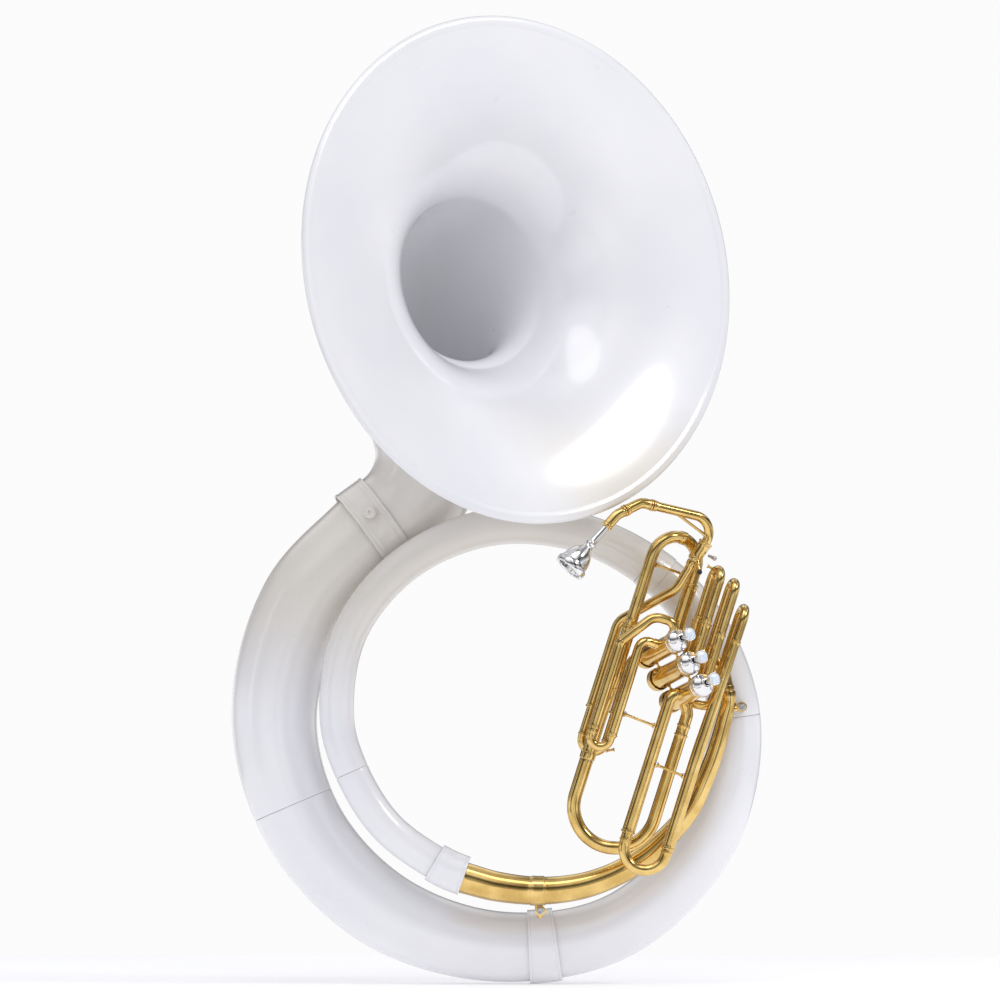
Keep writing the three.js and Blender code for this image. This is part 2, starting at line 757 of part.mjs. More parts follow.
pipe(
  "lower_bow",
  [
    [LOW_LEFT, LOW_Y, -124.3],
    [LOW_LEFT, LOW_Y, LOW_BOTTOM, lowBend],
    [LOW_RIGHT, LOW_Y - 1, LOW_BOTTOM, lowBend],
    [LOW_RIGHT, LOW_Y - 1, -30, 12],
    onValve(3, -8),
  ],
  {
    radii: [9, 7.8],
    bands: [
      [-54, 2, 0.9],
      [-42, 2, 0.9],
    ],
    sides: 10,
  },
  3,
);

// ---- the tube behind the valves, and the tapered branch round the inside of the wrap ----
const BRANCH_TOP = [86.1, -20.8, 12];
pipe(
  "return_tube",
  [
    [TUNING_X[1], TUNING_Y[1], 130],
    [TUNING_X[1], TUNING_Y[1], 60, 20],
    [70, -18, 40, 26],
    BRANCH_TOP,
  ],
  { radii: [TUNING_SLEEVE, 9.4], bands: [[0, 3, 0.9]], sides: 10 },
);
const BRANCH_STATIONS = [
  [6.14, 295.4, -20.8],
  [4.82, 296.3, -21.4],
  [2.8, 295.2, -22],
  [-0.3, 290.7, -22],
  [-8, 283, -22],
  [-16, 277.5, -22],
  [-27, 273, -22],
  [-45, 259, -22],
  [-60, 246, -22],
  [-75, 231, -21],
  [-90, 218, -20],
  [-102.2, 211, -20],
];
const branchLine = new THREE.CatmullRomCurve3(BRANCH_STATIONS.map(wrapPoint));
const branchRoute = new CurveRoute(branchLine, 0.0025, 1, 16);
const BRANCH_RADII = [9.5, 20.2];
const branchShape = { radii: BRANCH_RADII, bands: [[branchRoute.length * 0.78, 18, 1]], sides: 12 };
addTo(sousaphone, "brass_branch", brass(), tube(branchRoute, branchShape));

// ---- first valve slide ----
const FIRST_X = [-63.5, -39];
const FIRST_Y = -84;
const FIRST_LEG = 5.8;
const FIRST_SLEEVE = FIRST_LEG + 1.2;
const firstBend = (FIRST_X[1] - FIRST_X[0]) / 2 - 0.1;
addTo(
  cluster,
  "first_slide",
  brass(),
  tube(new Route(uBend(FIRST_X, [FIRST_Y, FIRST_Y], -35, -104.2, firstBend), 30), {
    radii: [FIRST_LEG, FIRST_LEG],
  }),
);
pipe(
  "first_sleeve_left",
  [
    [FIRST_X[0], FIRST_Y, -83],
    [FIRST_X[0], FIRST_Y, 32, 9],
    [-48, FIRST_Y, 54, 14],
    [-32, -80, 76, 20],
    [-2, -77, 76, 12],
    onValve(1, 21),
  ],
  { radii: [FIRST_SLEEVE, 6], bands: [[0, 2.5, 0.9]] },
  1,
);
pipe(
  "first_sleeve_right",
  [[FIRST_X[1], FIRST_Y, -86], [FIRST_X[1], FIRST_Y, 43, 11], onValve(1, 10)],
  { radii: [FIRST_SLEEVE, 6], bands: [[0, 2.5, 0.9]] },
  1,
);

// ---- second valve slide, at the top ----
const SECOND_X = [34, 23];
const SECOND_Y = [-72, -46];
const SECOND_LEG = 5;
const SECOND_SLEEVE = SECOND_LEG + 1.2;
const secondBend = Math.hypot(SECOND_X[0] - SECOND_X[1], SECOND_Y[0] - SECOND_Y[1]) / 2 - 0.1;
const secondBow = tube(new Route(uBend(SECOND_X, SECOND_Y, 60, 157, secondBend), 30), {
  radii: [SECOND_LEG + 0.7, SECOND_LEG + 0.7],
  wall: BRASS_WALL,
});
addTo(cluster, "second_slide", brass(), withKnob(secondBow, [21, -50, 156], [13.5, -50, 157.5]));
pipe(
  "second_sleeve_front",
  [[SECOND_X[0], SECOND_Y[0], 87], [SECOND_X[0], SECOND_Y[0], 38, 9], onValve(2, 17)],
  { radii: [SECOND_SLEEVE + 0.7, SMALL_TUBE], bands: [[0, 2.5, 0.8]] },
  2,
);
pipe(
  "second_sleeve_back",
  [[SECOND_X[1], SECOND_Y[1], 87], [SECOND_X[1], SECOND_Y[1], 38, 9], onValve(2, -4)],
  { radii: [SECOND_SLEEVE + 0.7, SMALL_TUBE], bands: [[0, 2.5, 0.8]] },
  2,
);
const crossBend = Math.hypot(6.5, 22) / 2 - 0.1;
pipe(
  "crossover_loop",
  [
    onValve(3, 21),
    [55.5, -74, 16, 8],
    [55.5, -72, 147, crossBend],
    [49, -50, 147, crossBend],
    [49, -50, 22, 12],
    onValve(3, 0),
  ],
  { radii: [SMALL_TUBE, SMALL_TUBE] },
  3,
);

// ---- third valve slide, the long one at the front ----
const THIRD_X = [18.5, 73.5];
const THIRD_Y = -72;
const THIRD_LEG = 7.2;
const THIRD_SLEEVE = THIRD_LEG + 1.2;
const thirdBend = (THIRD_X[1] - THIRD_X[0]) / 2 - 0.1;
addTo(
  cluster,
  "third_slide",
  brass(),
  tube(new Route(uBend(THIRD_X, [THIRD_Y, THIRD_Y], -110, -238, thirdBend)), {
    radii: [THIRD_LEG, THIRD_LEG],
    sides: 10,
  }),
);
pipe(
  "third_sleeve_left",
  [[THIRD_X[0], THIRD_Y, -198], [THIRD_X[0], THIRD_Y, -14, 12], onValve(3, 5)],
  { radii: [THIRD_SLEEVE, 7.6], bands: [[0, 3, 0.9]], sides: 10 },
  3,
);
const TOP_LOOP_Z = 119.5;
const topBend = Math.hypot(6.5, 30) / 2 - 0.1;
pipe(
  "third_sleeve_right",
  [
    [THIRD_X[1], THIRD_Y, -203],
    [THIRD_X[1], THIRD_Y, -60, 300],
    [77.5, -68, TOP_LOOP_Z, topBend],
    [71, -38, TOP_LOOP_Z, topBend],
    [71, -38, -14, 12],
    onValve(3, -30),
  ],
  {
    radii: [
      [0, THIRD_SLEEVE],
      [120, THIRD_SLEEVE],
      [360, 6],
    ],
    bands: [[0, 3, 0.9]],
    sides: 10,
  },
  3,
);
addTo(cluster, "first_cross_brace", brass(), rod([-31.4, -83, -54.5], [9.6, -73, -57.5], 1.8, 3, 2.5, 6));
addTo(cluster, "third_cross_brace", brass(), rod([27.4, THIRD_Y, -104], [64.6, THIRD_Y, -107.5], 1.8, 3, 2.5, 6));

// ---- brackets that hold the brass to the wrap ----
const FACET_GAP = 2.2; // clears the flats of the shell on the inside of its curve
const SLEEVE_GAP = 6; // clears the sleeve as well
const wrapSolid = (from, to, clearance) => {
  const route = new CurveRoute(wrapLine, fractionAt(from), fractionAt(to), 6);
  const outline = route.stops().map((distance) => {
    const radius = THREE.MathUtils.lerp(wrapRadius(from), wrapRadius(to), distance / route.length);
    return [radius + clearance, distance];
  });
  return turnAlong(route, [[0, 0], ...outline, [0, route.length]], 32);
};
const branchSolid = () => {
  const outline = branchRoute.stops().map((distance) => {
    const share = distance / branchRoute.length;
    return [THREE.MathUtils.lerp(...BRANCH_RADII, share) + 1 + GAP, distance];
  });
  return turnAlong(branchRoute, [[0, 0], ...outline, [0, branchRoute.length]], 12);
};
function bracket(name, angle, clearance, head, bossDepth, bossRadius, armFrom, armTo) {
  const [x, y, z] = head;
  const boss = rod(head, [x, y + bossDepth, z], bossRadius, bossRadius, 2, 12);
  const arm = rod(wrapPoint(armFrom).toArray(), wrapPoint(armTo).toArray(), 4, 4, 2, 8);
  const shape = cut(join(boss, arm), wrapSolid(angle + 12, angle - 12, clearance), branchSolid());
  addTo(sousaphone, name, brass(), shape);
  const nut = new THREE.CylinderGeometry(5.2, 5.2, 5, 6).translate(x, y - GAP - 2.5, z);
  addTo(sousaphone, `${name}_screw`, steel(), nut);
}
bracket("bottom_bracket", -78, SLEEVE_GAP, [28.8, -12, -469], 16, 7, [-78, 229, -21], [-78, 276, 11]);
bracket("side_bracket", 2, FACET_GAP, [287, -20, -208], 50, 6.5, [1.5, 293, -22], [2.2, 311, -12]);

export default sousaphone;
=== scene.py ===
"""A marching sousaphone in a plain white studio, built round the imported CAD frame."""

import json
import math

import bmesh
import bpy
import numpy as np
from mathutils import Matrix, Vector


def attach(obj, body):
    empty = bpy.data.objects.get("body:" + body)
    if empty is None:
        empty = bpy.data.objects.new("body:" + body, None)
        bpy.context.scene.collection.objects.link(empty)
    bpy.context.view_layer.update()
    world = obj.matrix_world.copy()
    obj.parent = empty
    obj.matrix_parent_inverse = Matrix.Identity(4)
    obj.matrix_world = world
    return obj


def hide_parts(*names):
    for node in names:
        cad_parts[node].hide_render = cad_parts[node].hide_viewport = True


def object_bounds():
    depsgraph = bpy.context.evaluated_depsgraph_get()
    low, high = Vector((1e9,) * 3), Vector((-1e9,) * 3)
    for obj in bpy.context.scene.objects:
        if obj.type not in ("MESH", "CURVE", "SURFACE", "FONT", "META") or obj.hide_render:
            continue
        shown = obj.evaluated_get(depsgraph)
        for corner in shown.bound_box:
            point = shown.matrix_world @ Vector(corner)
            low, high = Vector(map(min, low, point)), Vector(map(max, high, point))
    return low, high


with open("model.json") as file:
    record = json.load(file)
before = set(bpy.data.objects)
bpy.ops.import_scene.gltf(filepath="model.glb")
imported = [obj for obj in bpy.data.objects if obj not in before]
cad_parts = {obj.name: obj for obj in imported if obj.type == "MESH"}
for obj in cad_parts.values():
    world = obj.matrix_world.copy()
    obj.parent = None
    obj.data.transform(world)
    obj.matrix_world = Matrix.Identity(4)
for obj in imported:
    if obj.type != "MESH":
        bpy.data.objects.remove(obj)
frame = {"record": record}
cad_box = [list(corner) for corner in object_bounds()]
BODY_OF = {
    node: body
    for body, nodes in frame["record"]["behaviour"]["bodies"].items()
    for node in nodes
}
MM = 0.001
SHELL_WALL = 2.4
BRASS_WALL = 0.8
GAP = 0.3


# ---- vectors and the valve section's own frame ----
def unit(v):
    return v / np.linalg.norm(v)


def between(a, b, part):
    return np.asarray(a, float) + (np.asarray(b, float) - np.asarray(a, float)) * part


def rotation(axis, degrees):
    x, y, z = unit(np.asarray(axis, float))
    c, s = math.cos(math.radians(degrees)), math.sin(math.radians(degrees))
    cross = np.array([[0, -z, y], [z, 0, -x], [-y, x, 0]])
    return np.eye(3) * c + s * cross + (1 - c) * np.outer([x, y, z], [x, y, z])


class Place:
    """A frame that stands at a point with a rotation. Points go in as rows."""

    def __init__(self, turn=np.eye(3), at=(0, 0, 0), inside=None):
        self.turn, self.at, self.inside = turn, np.asarray(at, float), inside

    def out(self, points):
        moved = np.asarray(points, float) @ self.turn.T + self.at
        return self.inside.out(moved) if self.inside else moved


WORLD = Place()
CLUSTER = Place(rotation((0, 1, 0), 17.5), (182.4, 0, -173.7))
BLOCK = Place(
    rotation((0, 1, 0), 43.8) @ rotation((1, 0, 0), 58.7), (12.5, -60, 16)
)
VALVES = Place(BLOCK.turn, BLOCK.at, CLUSTER)


def aim(point, direction, inside=None):
    """A frame at a point whose z looks along direction."""
    z = unit(np.asarray(direction, float))
    x = unit(np.cross((0, 1, 0) if abs(z[1]) < 0.9 else (1, 0, 0), z))
    return Place(np.column_stack([x, np.cross(z, x), z]), point, inside)


# ---- centre lines ----
class Route:
    """Straight runs with round corners. A corner is (x, y, z, bend radius)."""

    def __init__(self, *corners):
        points = [np.array(c[:3], float) for c in corners]
        self.runs, self.length = [], 0.0
        start = points[0]
        for i in range(1, len(points) - 1):
            heading, leaving = unit(points[i] - points[i - 1]), unit(points[i + 1] - points[i])
            turn = math.acos(float(np.clip(heading @ leaving, -1, 1)))
            if turn < 1e-4:
                continue
            radius = corners[i][3]
            reach = radius * math.tan(turn / 2)
            corner = points[i] - heading * reach
            side = unit(leaving - heading * (leaving @ heading))
            self.add(start, heading, None, np.linalg.norm(corner - start), 0)
            self.add(corner, heading, side, radius * turn, radius)
            start = points[i] + leaving * reach
        last = points[-1] - start
        self.add(start, unit(last), None, np.linalg.norm(last), 0)

    def add(self, point, heading, side, length, radius):
        if length > 1e-6:
            self.runs.append((self.length, point, heading, side, radius))
            self.length += length

    def at(self, distance):
        start, point, heading, side, radius = next(
            (r for r in reversed(self.runs) if r[0] <= distance + 1e-9), self.runs[0]
        )
        along = distance - start
        if not radius:
            return point + heading * along, heading
        turn = along / radius
        place = point + heading * radius * math.sin(turn) + side * radius * (1 - math.cos(turn))
        return place, heading * math.cos(turn) + side * math.sin(turn)


class Spline:
    """A centripetal Catmull-Rom curve through points, known by its length."""

    def __init__(self, points, divisions):
        self.points = np.array(points, float)
        ts = np.linspace(0, 1, divisions + 1)
        line = np.array([self.point(t) for t in ts])
        steps = np.linalg.norm(np.diff(line, axis=0), axis=1)
        self.ts, self.lengths = ts, np.concatenate([[0], np.cumsum(steps)])
        self.length = self.lengths[-1]

    def point(self, t):
        pts, count = self.points, len(self.points)
        place = (count - 1) * t
        i = min(int(place), count - 2)
        w = place - i
        p1, p2 = pts[i], pts[i + 1]
        p0 = pts[i - 1] if i > 0 else 2 * pts[0] - pts[1]
        p3 = pts[i + 2] if i + 2 < count else 2 * pts[-1] - pts[-2]
        d0, d1, d2 = (np.linalg.norm(b - a) ** 0.5 for a, b in ((p0, p1), (p1, p2), (p2, p3)))
        m1 = ((p1 - p0) / d0 - (p2 - p0) / (d0 + d1) + (p2 - p1) / d1) * d1
        m2 = ((p2 - p1) / d1 - (p3 - p1) / (d1 + d2) + (p3 - p2) / d2) * d1
        return (
            p1
            + m1 * w
            + (-3 * p1 + 3 * p2 - 2 * m1 - m2) * w * w
            + (2 * p1 - 2 * p2 + m1 + m2) * w**3
        )

    def at_length(self, distance):
        t = float(np.interp(distance, self.lengths, self.ts))
        ahead, behind = self.point(min(1, t + 1e-4)), self.point(max(0, t - 1e-4))
        return self.point(t), unit(ahead - behind)

    def part(self, start, end):
        return Stretch(self, start, end)


class Stretch:
    """Part of a spline, from one distance along it to another."""

    def __init__(self, spline, start, end):
        self.spline, self.start, self.length = spline, start, end - start

    def at(self, distance):
        return self.spline.at_length(self.start + distance)


# ---- profiles of (radius, distance) ----
def rounded(profile, radius=0.5, closed=True, steps=3):
    """Rounds a profile's sharp corners."""
    points = [np.array(p, float) for p in profile]
    out = []
    for i, here in enumerate(points):
        if not closed and i in (0, len(points) - 1):
            out.append(here)
            continue
        a, b = points[i - 1] - here, points[(i + 1) % len(points)] - here
        la, lb = np.linalg.norm(a), np.linalg.norm(b)
        if la < 1e-6 or lb < 1e-6:
            continue
        if (a @ b) / (la * lb) < -0.94:
            out.append(here)
            continue
        reach = min(radius, 0.45 * la, 0.45 * lb)
        p, q = here + a / la * reach, here + b / lb * reach
        for k in range(steps + 1):
            t = k / steps
            out.append(p * (1 - t) ** 2 + here * 2 * t * (1 - t) + q * t * t)
    return out


def refined(profile, step, closed=True):
    """Adds points so that no stretch along the route is longer than step."""
    out = []
    count = len(profile) if closed else len(profile) - 1
    for i in range(count):
        a, b = np.asarray(profile[i], float), np.asarray(profile[(i + 1) % len(profile)], float)
        parts = max(1, math.ceil(abs(b[1] - a[1]) / step))
        out += [a + (b - a) * k / parts for k in range(parts)]
    if not closed:
        out.append(np.asarray(profile[-1], float))
    return out


def tube_profile(length, radii, wall=BRASS_WALL, bands=(), edge=0.45):
    """The closed profile of an open tube with raised bands of (start, length, height)."""
    knots = radii if np.ndim(radii[0]) else [(0, radii[0]), (length, radii[1])]
    ds, rs = [k[0] for k in knots], [k[1] for k in knots]
    radius = lambda d: float(np.interp(d, ds, rs))
    marks = sorted({0.0, length, *[d for d in ds if d < length]})
    edges = []
    for start, span, height in bands:
        first = start if start >= 0 else length + start
        edges.append((first, min(first + span, length), height))
    inside = lambda d: any(a - 0.5 < d < b + 0.5 for a, b, _ in edges)
    outer = [(radius(d), d, 0) for d in marks if not inside(d)]
    for n, (a, b, height) in enumerate(edges):
        foot = 0.02 + n / 1000
        outer += [(radius(a), a, -foot), (radius(a) + height, a, foot)]
        outer += [(radius(b) + height, b, -foot), (radius(b), b, foot)]
    outer.sort(key=lambda p: (round(p[1], 6), p[2]))
    profile = [(r, d) for r, d, _ in outer]
    profile += [(radius(d) - wall, d) for d in reversed(marks)]
    return rounded(profile, edge)


def sweep(route, profile, sides, step=None, closed=True, ripple=None, place=WORLD):
    """Turns a profile about a route. ripple is (from, to, height, count) and knurls a band."""
    rows = np.array(refined(profile, step, closed) if step else profile, float)
    frames, last = {}, None
    for distance in sorted(set(np.round(rows[:, 1], 6))):
        point, heading = route.at(distance)
        if last is None:
            across = np.array((0, 1, 0) if abs(heading[1]) < 0.9 else (1, 0, 0), float)
        else:
            across = last
        across = unit(across - heading * (across @ heading))
        frames[distance] = (point, across, np.cross(heading, across))
        last = across
    angles = np.arange(sides) * 2 * math.pi / sides
    verts = []
    for radius, distance in rows:
        point, across, other = frames[round(distance, 6)]
        r = np.full(sides, radius)
        if ripple and ripple[0] <= distance <= ripple[1]:
            r = r + ripple[2] * np.cos(angles * ripple[3])
        ring = np.outer(r * np.cos(angles), across)
        verts.append(point + ring + np.outer(r * np.sin(angles), other))
    verts = place.out(np.concatenate(verts))
    count = len(rows)
    faces = []
    for j in range(count if closed else count - 1):
        a, b = j * sides, ((j + 1) % count) * sides
        faces += [
            (a + k, a + (k + 1) % sides, b + (k + 1) % sides, b + k) for k in range(sides)
        ]
    return verts, faces


STRAIGHT = Route((0, 0, -500), (0, 0, 500))


def turned(profile, sides=64, edge=0.4, place=WORLD, ripple=None, closed=None):
    """A solid turned about its frame's z from (radius, z) points."""
    loop = not (profile[0][0] == 0 and profile[-1][0] == 0) if closed is None else closed
    shaped = rounded(profile, edge, loop) if edge else profile
    rows = [(r, z + 500) for r, z in shaped]
    if ripple:
        ripple = (ripple[0] + 500, ripple[1] + 500, *ripple[2:])
    return sweep(STRAIGHT, rows, sides, closed=loop, place=place, ripple=ripple)


def joined(*shapes):
    verts, faces, base = [], [], 0
    for v, f in shapes:
        verts.append(v)
        faces += [tuple(i + base for i in face) for face in f]
        base += len(v)
    return np.concatenate(verts), faces


def bar(start, end, radius, foot=None, foot_length=2.0, sides=32, place=WORLD):
    """A round bar that widens into a foot at each end."""
    start, end = np.asarray(start, float), np.asarray(end, float)
    length = float(np.linalg.norm(end - start))
    foot = foot or radius
    neck = min(foot_length * 2.2, length * 0.4)
    profile = [(0, 0), (foot, 0), (foot * 0.96, foot_length * 0.4)]
    profile += [(radius + (foot - radius) * 0.25, foot_length), (radius, neck)]
    mirror = [(r, length - z) for r, z in reversed(profile)]
    own = aim(start, end - start)
    here = Place(own.turn, own.at, None if place is WORLD else place)
    return turned(profile + mirror, sides, 0.3, here)


# ---- materials ----
def sheltered(nodes, links, position, colour, shade_tint):
    """Paints shade into the colour: a warmer, darker white where the wrap lies close under the
    bell.
    """
    split = nodes.new("ShaderNodeSeparateXYZ")
    links.new(position, split.inputs["Vector"])
    shade_amount = None
    for axis, none, full in (("Z", -0.24, -0.05), ("Z", 0.2, 0.08), ("Y", -0.17, -0.09)):
        fade = nodes.new("ShaderNodeMapRange")
        fade.interpolation_type = "SMOOTHSTEP"
        fade.inputs["From Min"].default_value = none
        fade.inputs["From Max"].default_value = full
        links.new(split.outputs[axis], fade.inputs["Value"])
        if shade_amount is None:
            shade_amount = fade.outputs["Result"]
            continue
        both = nodes.new("ShaderNodeMath")
        both.operation = "MULTIPLY"
        links.new(shade_amount, both.inputs[0])
        links.new(fade.outputs["Result"], both.inputs[1])
        shade_amount = both.outputs["Value"]
    mixed = nodes.new("ShaderNodeMix")
    mixed.data_type, mixed.blend_type = "RGBA", "MULTIPLY"
    links.new(shade_amount, mixed.inputs["Factor"])
    links.new(colour, mixed.inputs[6])
    mixed.inputs[7].default_value = (*shade_tint, 1)
    return mixed.outputs[2]


def material(name, colour, metallic, rough, coat=0.0, **detail):
    """A finish with mottled colour, uneven gloss and a fine bump, all from nodes, with painted
    shade under the bell mixed into the colour where asked.
    """
    mat = bpy.data.materials.new(name)
    mat.use_nodes = True
    nodes, links = mat.node_tree.nodes, mat.node_tree.links
    shader = nodes["Principled BSDF"]
    shader.inputs["Metallic"].default_value = metallic
    shader.inputs["Coat Weight"].default_value = coat
    shader.inputs["Coat Roughness"].default_value = detail.get("coat_rough", 0.04)
    shader.inputs["IOR"].default_value = 1.5
    where = nodes.new("ShaderNodeTexCoord")

    def noise(scale, octaves=3.0, stretch=(1, 1, 1)):
        mapping = nodes.new("ShaderNodeMapping")
        mapping.inputs["Scale"].default_value = stretch
        links.new(where.outputs["Object"], mapping.inputs["Vector"])
        node = nodes.new("ShaderNodeTexNoise")
        node.inputs["Scale"].default_value = scale
        node.inputs["Detail"].default_value = octaves
        links.new(mapping.outputs["Vector"], node.inputs["Vector"])
        return node.outputs["Fac"]

    def ramp(source, low, high, start=0.35, end=0.7):
        node = nodes.new("ShaderNodeValToRGB")
        node.color_ramp.elements[0].position = start
        node.color_ramp.elements[1].position = end
        node.color_ramp.elements[0].color = low
        node.color_ramp.elements[1].color = high
        links.new(source, node.inputs["Fac"])
        return node.outputs["Color"]

    stretch = detail.get("stretch", (1, 1, 1))
    mottle_and_painted_shade = ramp(noise(detail.get("mottle", 14), 4, stretch), (*colour[0], 1), (*colour[1], 1))
    # Painted shade: where asked, the colour turns warmer and darker in the part of the wrap under
    # the bell.
    if "sheltered" in detail:
        mottle_and_painted_shade = sheltered(nodes, links, where.outputs["Object"], mottle_and_painted_shade, detail["sheltered"])
    links.new(mottle_and_painted_shade, shader.inputs["Base Color"])
    shine = nodes.new("ShaderNodeMapRange")
    shine.inputs["To Min"].default_value = rough[0]
    shine.inputs["To Max"].default_value = rough[1]
    links.new(noise(detail.get("smear", 30), 5, stretch), shine.inputs["Value"])
    links.new(shine.outputs["Result"], shader.inputs["Roughness"])
    bump = nodes.new("ShaderNodeBump")
    bump.inputs["Strength"].default_value = detail.get("bump", 0.05)
    bump.inputs["Distance"].default_value = detail.get("depth", 0.0004)
    links.new(noise(detail.get("grain", 900), 2, stretch), bump.inputs["Height"])
    links.new(bump.outputs["Normal"], shader.inputs["Normal"])
    return mat


# The white shell carries painted shade: its colour is tinted warmer and darker where the wrap lies
# under the bell.
SHELL = material(
    "white_shell", ((0.80, 0.80, 0.835), (0.85, 0.85, 0.87)), 0, (0.24, 0.36), 1.0,
    mottle=5, smear=22, grain=160, bump=0.035, depth=0.0006, coat_rough=0.1,
    sheltered=(0.90, 0.855, 0.76),
)
BRASS = material(
    "lacquered_brass", ((0.66, 0.43, 0.12), (0.90, 0.64, 0.23)), 1, (0.07, 0.19), 0.6,
    mottle=40, smear=60, grain=420, bump=0.05, depth=0.0002,
)
SILVER = material(
    "silver_plate", ((0.80, 0.80, 0.82), (0.92, 0.92, 0.93)), 1, (0.04, 0.13), 0.0,
    mottle=60, smear=80, grain=700, bump=0.03, depth=0.0002,
)
STEEL = material(
    "plain_steel", ((0.50, 0.50, 0.52), (0.66, 0.66, 0.68)), 1, (0.22, 0.4), 0.0,
    mottle=90, smear=200, grain=1500, bump=0.12, depth=0.0002,
)
PEARL = material(
    "button_pearl", ((0.62, 0.72, 0.84), (0.93, 0.95, 0.97)), 0, (0.08, 0.2), 1.0,
    mottle=260, smear=300, grain=900, bump=0.04, depth=0.0002,
)
BLACK = material(
    "black_fitting", ((0.012, 0.012, 0.013), (0.03, 0.03, 0.032)), 0, (0.3, 0.5), 0.2,
    mottle=90, smear=200, grain=1500, bump=0.1, depth=0.0002,
)


# ---- pieces ----
def piece(name, shape, mat, body, nodes=(), sharp=38):
    """A mesh piece that rides on a body, and stands for CAD nodes where it names some."""
    verts, faces = shape
    mesh = bpy.data.meshes.new(name)
    bm = bmesh.new()
    made = [bm.verts.new(v) for v in verts * MM]
    for face in faces:
        corners = [made[i] for i in face]
        if len(set(corners)) > 2:
            bm.faces.new(corners)
    bmesh.ops.remove_doubles(bm, verts=bm.verts, dist=2e-6)
    bmesh.ops.recalc_face_normals(bm, faces=bm.faces)
    bm.to_mesh(mesh)
    bm.free()
    for polygon in mesh.polygons:
        polygon.use_smooth = True
    mesh.set_sharp_from_angle(angle=math.radians(sharp))
    mesh.materials.append(mat)
    obj = bpy.data.objects.new(name, mesh)
    bpy.context.collection.objects.link(obj)
    if nodes:
        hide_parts(*nodes)
    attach(obj, body)
    return obj


def fine(node, shape, mat, sharp=38):
    """The finished form of one CAD node."""
    return piece(f"{node}_fine", shape, mat, BODY_OF[node], [node], sharp)


def trim(name, shape, mat, node):
    """A small extra piece that rides with a CAD node."""
    return piece(name, shape, mat, BODY_OF[node])


def cylinder_cutter(valve):
    """Takes away what would reach inside a valve casing."""
    place = Place(at=(VALVE_X[valve], 0, 0), inside=VALVES)
    verts, faces = turned([(0, -60), (12.6, -60), (12.6, 60), (0, 60)], 64, 0, place)
    mesh = bpy.data.meshes.new("cutter")
    mesh.from_pydata((verts * MM).tolist(), [], [tuple(f) for f in faces])
    bm = bmesh.new()
    bm.from_mesh(mesh)
    bmesh.ops.remove_doubles(bm, verts=bm.verts, dist=1e-6)
    bmesh.ops.recalc_face_normals(bm, faces=bm.faces)
    bm.to_mesh(mesh)
    bm.free()
    cutter = bpy.data.objects.new("cutter", mesh)
    bpy.context.collection.objects.link(cutter)
    return cutter


def trimmed(obj, valve):
    """Ends a tube at the wall of a valve casing."""
    cutter = cylinder_cutter(valve)
    modifier = obj.modifiers.new("trim", "BOOLEAN")
    modifier.operation, modifier.solver, modifier.object = "DIFFERENCE", "EXACT", cutter
    graph = bpy.context.evaluated_depsgraph_get()
    result = bpy.data.meshes.new_from_object(obj.evaluated_get(graph))
    obj.modifiers.clear()
    obj.data = result
    bpy.data.objects.remove(cutter)
    result.set_sharp_from_angle(angle=math.radians(38))


# ---- the white wrap ----
WRAP_MIDDLE = (-25.6, -219.8)
STATIONS = [
    (262, 211, -20, 21.4), (250, 205, -20, 21.8), (225, 200, -20, 21.8), (200, 199.5, -19, 22),
    (180, 205.5, -17, 22.2),
    (150, 217, -14, 22.4), (120, 228, -10, 22.8), (90, 243, 0, 24), (60, 261, 12, 25.4),
    (30, 284, 25, 29), (0, 303, 36, 34.2), (-30, 312, 41, 38.6), (-60, 311, 42, 41.8),
    (-90, 296, 42, 45), (-120, 289, 42, 50.5), (-150, 286, 44, 52.6), (-180, 286.5, 48, 55),
    (-210, 285, 56, 59), (-236, 283, 65, 62),
]


def ring_point(angle, radius, y):
    turn = math.radians(angle)
    return (
        WRAP_MIDDLE[0] + radius * math.cos(turn), y, WRAP_MIDDLE[1] + radius * math.sin(turn)
    )


Spline.at = Spline.at_length
WRAP = Spline([ring_point(*s[:3]) for s in STATIONS], 1600)
ANGLES = [-s[0] for s in STATIONS]


def wrap_distance(angle):
    index = np.interp(-angle, ANGLES, range(len(STATIONS)))
    return float(np.interp(index / (len(STATIONS) - 1), WRAP.ts, WRAP.lengths))


def wrap_radius(angle):
    near = [np.interp(-angle + d, ANGLES, [s[3] for s in STATIONS]) for d in (-8, -4, 0, 4, 8)]
    return float(np.mean(near))


def wrap_section(node, start, end, bands=()):
    a, b = wrap_distance(start) + GAP / 2, wrap_distance(end) - GAP / 2
    count = max(4, round((start - end) / 6))
    angles = [start + (end - start) * k / count for k in range(count + 1)]
    knots = [(wrap_distance(angle) - a, wrap_radius(angle)) for angle in angles]
    knots = [(min(max(d, 0), b - a), r) for d, r in knots]
    profile = tube_profile(b - a, knots, SHELL_WALL, bands, 0.9)
    return fine(node, sweep(WRAP.part(a, b), profile, 96, 7), SHELL, 50)


wrap_section("inner_left_section", 257.4, 201)
wrap_section("shoulder_section", 201, 46)
wrap_section("upper_right_section", 46, 0, [(0.6, 26, 1.2)])
wrap_section("lower_right_section", 0, -79)
wrap_section("lower_left_section", -79, -156.5)
wrap_section("upper_left_section", -156.5, -235.4)


def wrap_sleeve(node, angle, length, clearance):
    """A sleeve over a joint, with a shallow groove near each edge."""
    centre = wrap_distance(angle)
    r = wrap_radius(angle) + clearance
    profile = [
        (r, 0), (r + 2, 0), (r + 2, 3), (r + 1.5, 3.3), (r + 1.5, 3.9), (r + 2, 4.2),
        (r + 2, length - 4.2), (r + 1.5, length - 3.9), (r + 1.5, length - 3.3),
        (r + 2, length - 3), (r + 2, length), (r, length),
    ]
    route = WRAP.part(centre - length / 2, centre + length / 2)
    fine(node, sweep(route, rounded(profile, 0.8), 96, 7), SHELL, 50)


wrap_sleeve("bottom_sleeve", -79, 37, 1.6)
wrap_sleeve("inner_tube_ferrule", 252.2, 42, 2)

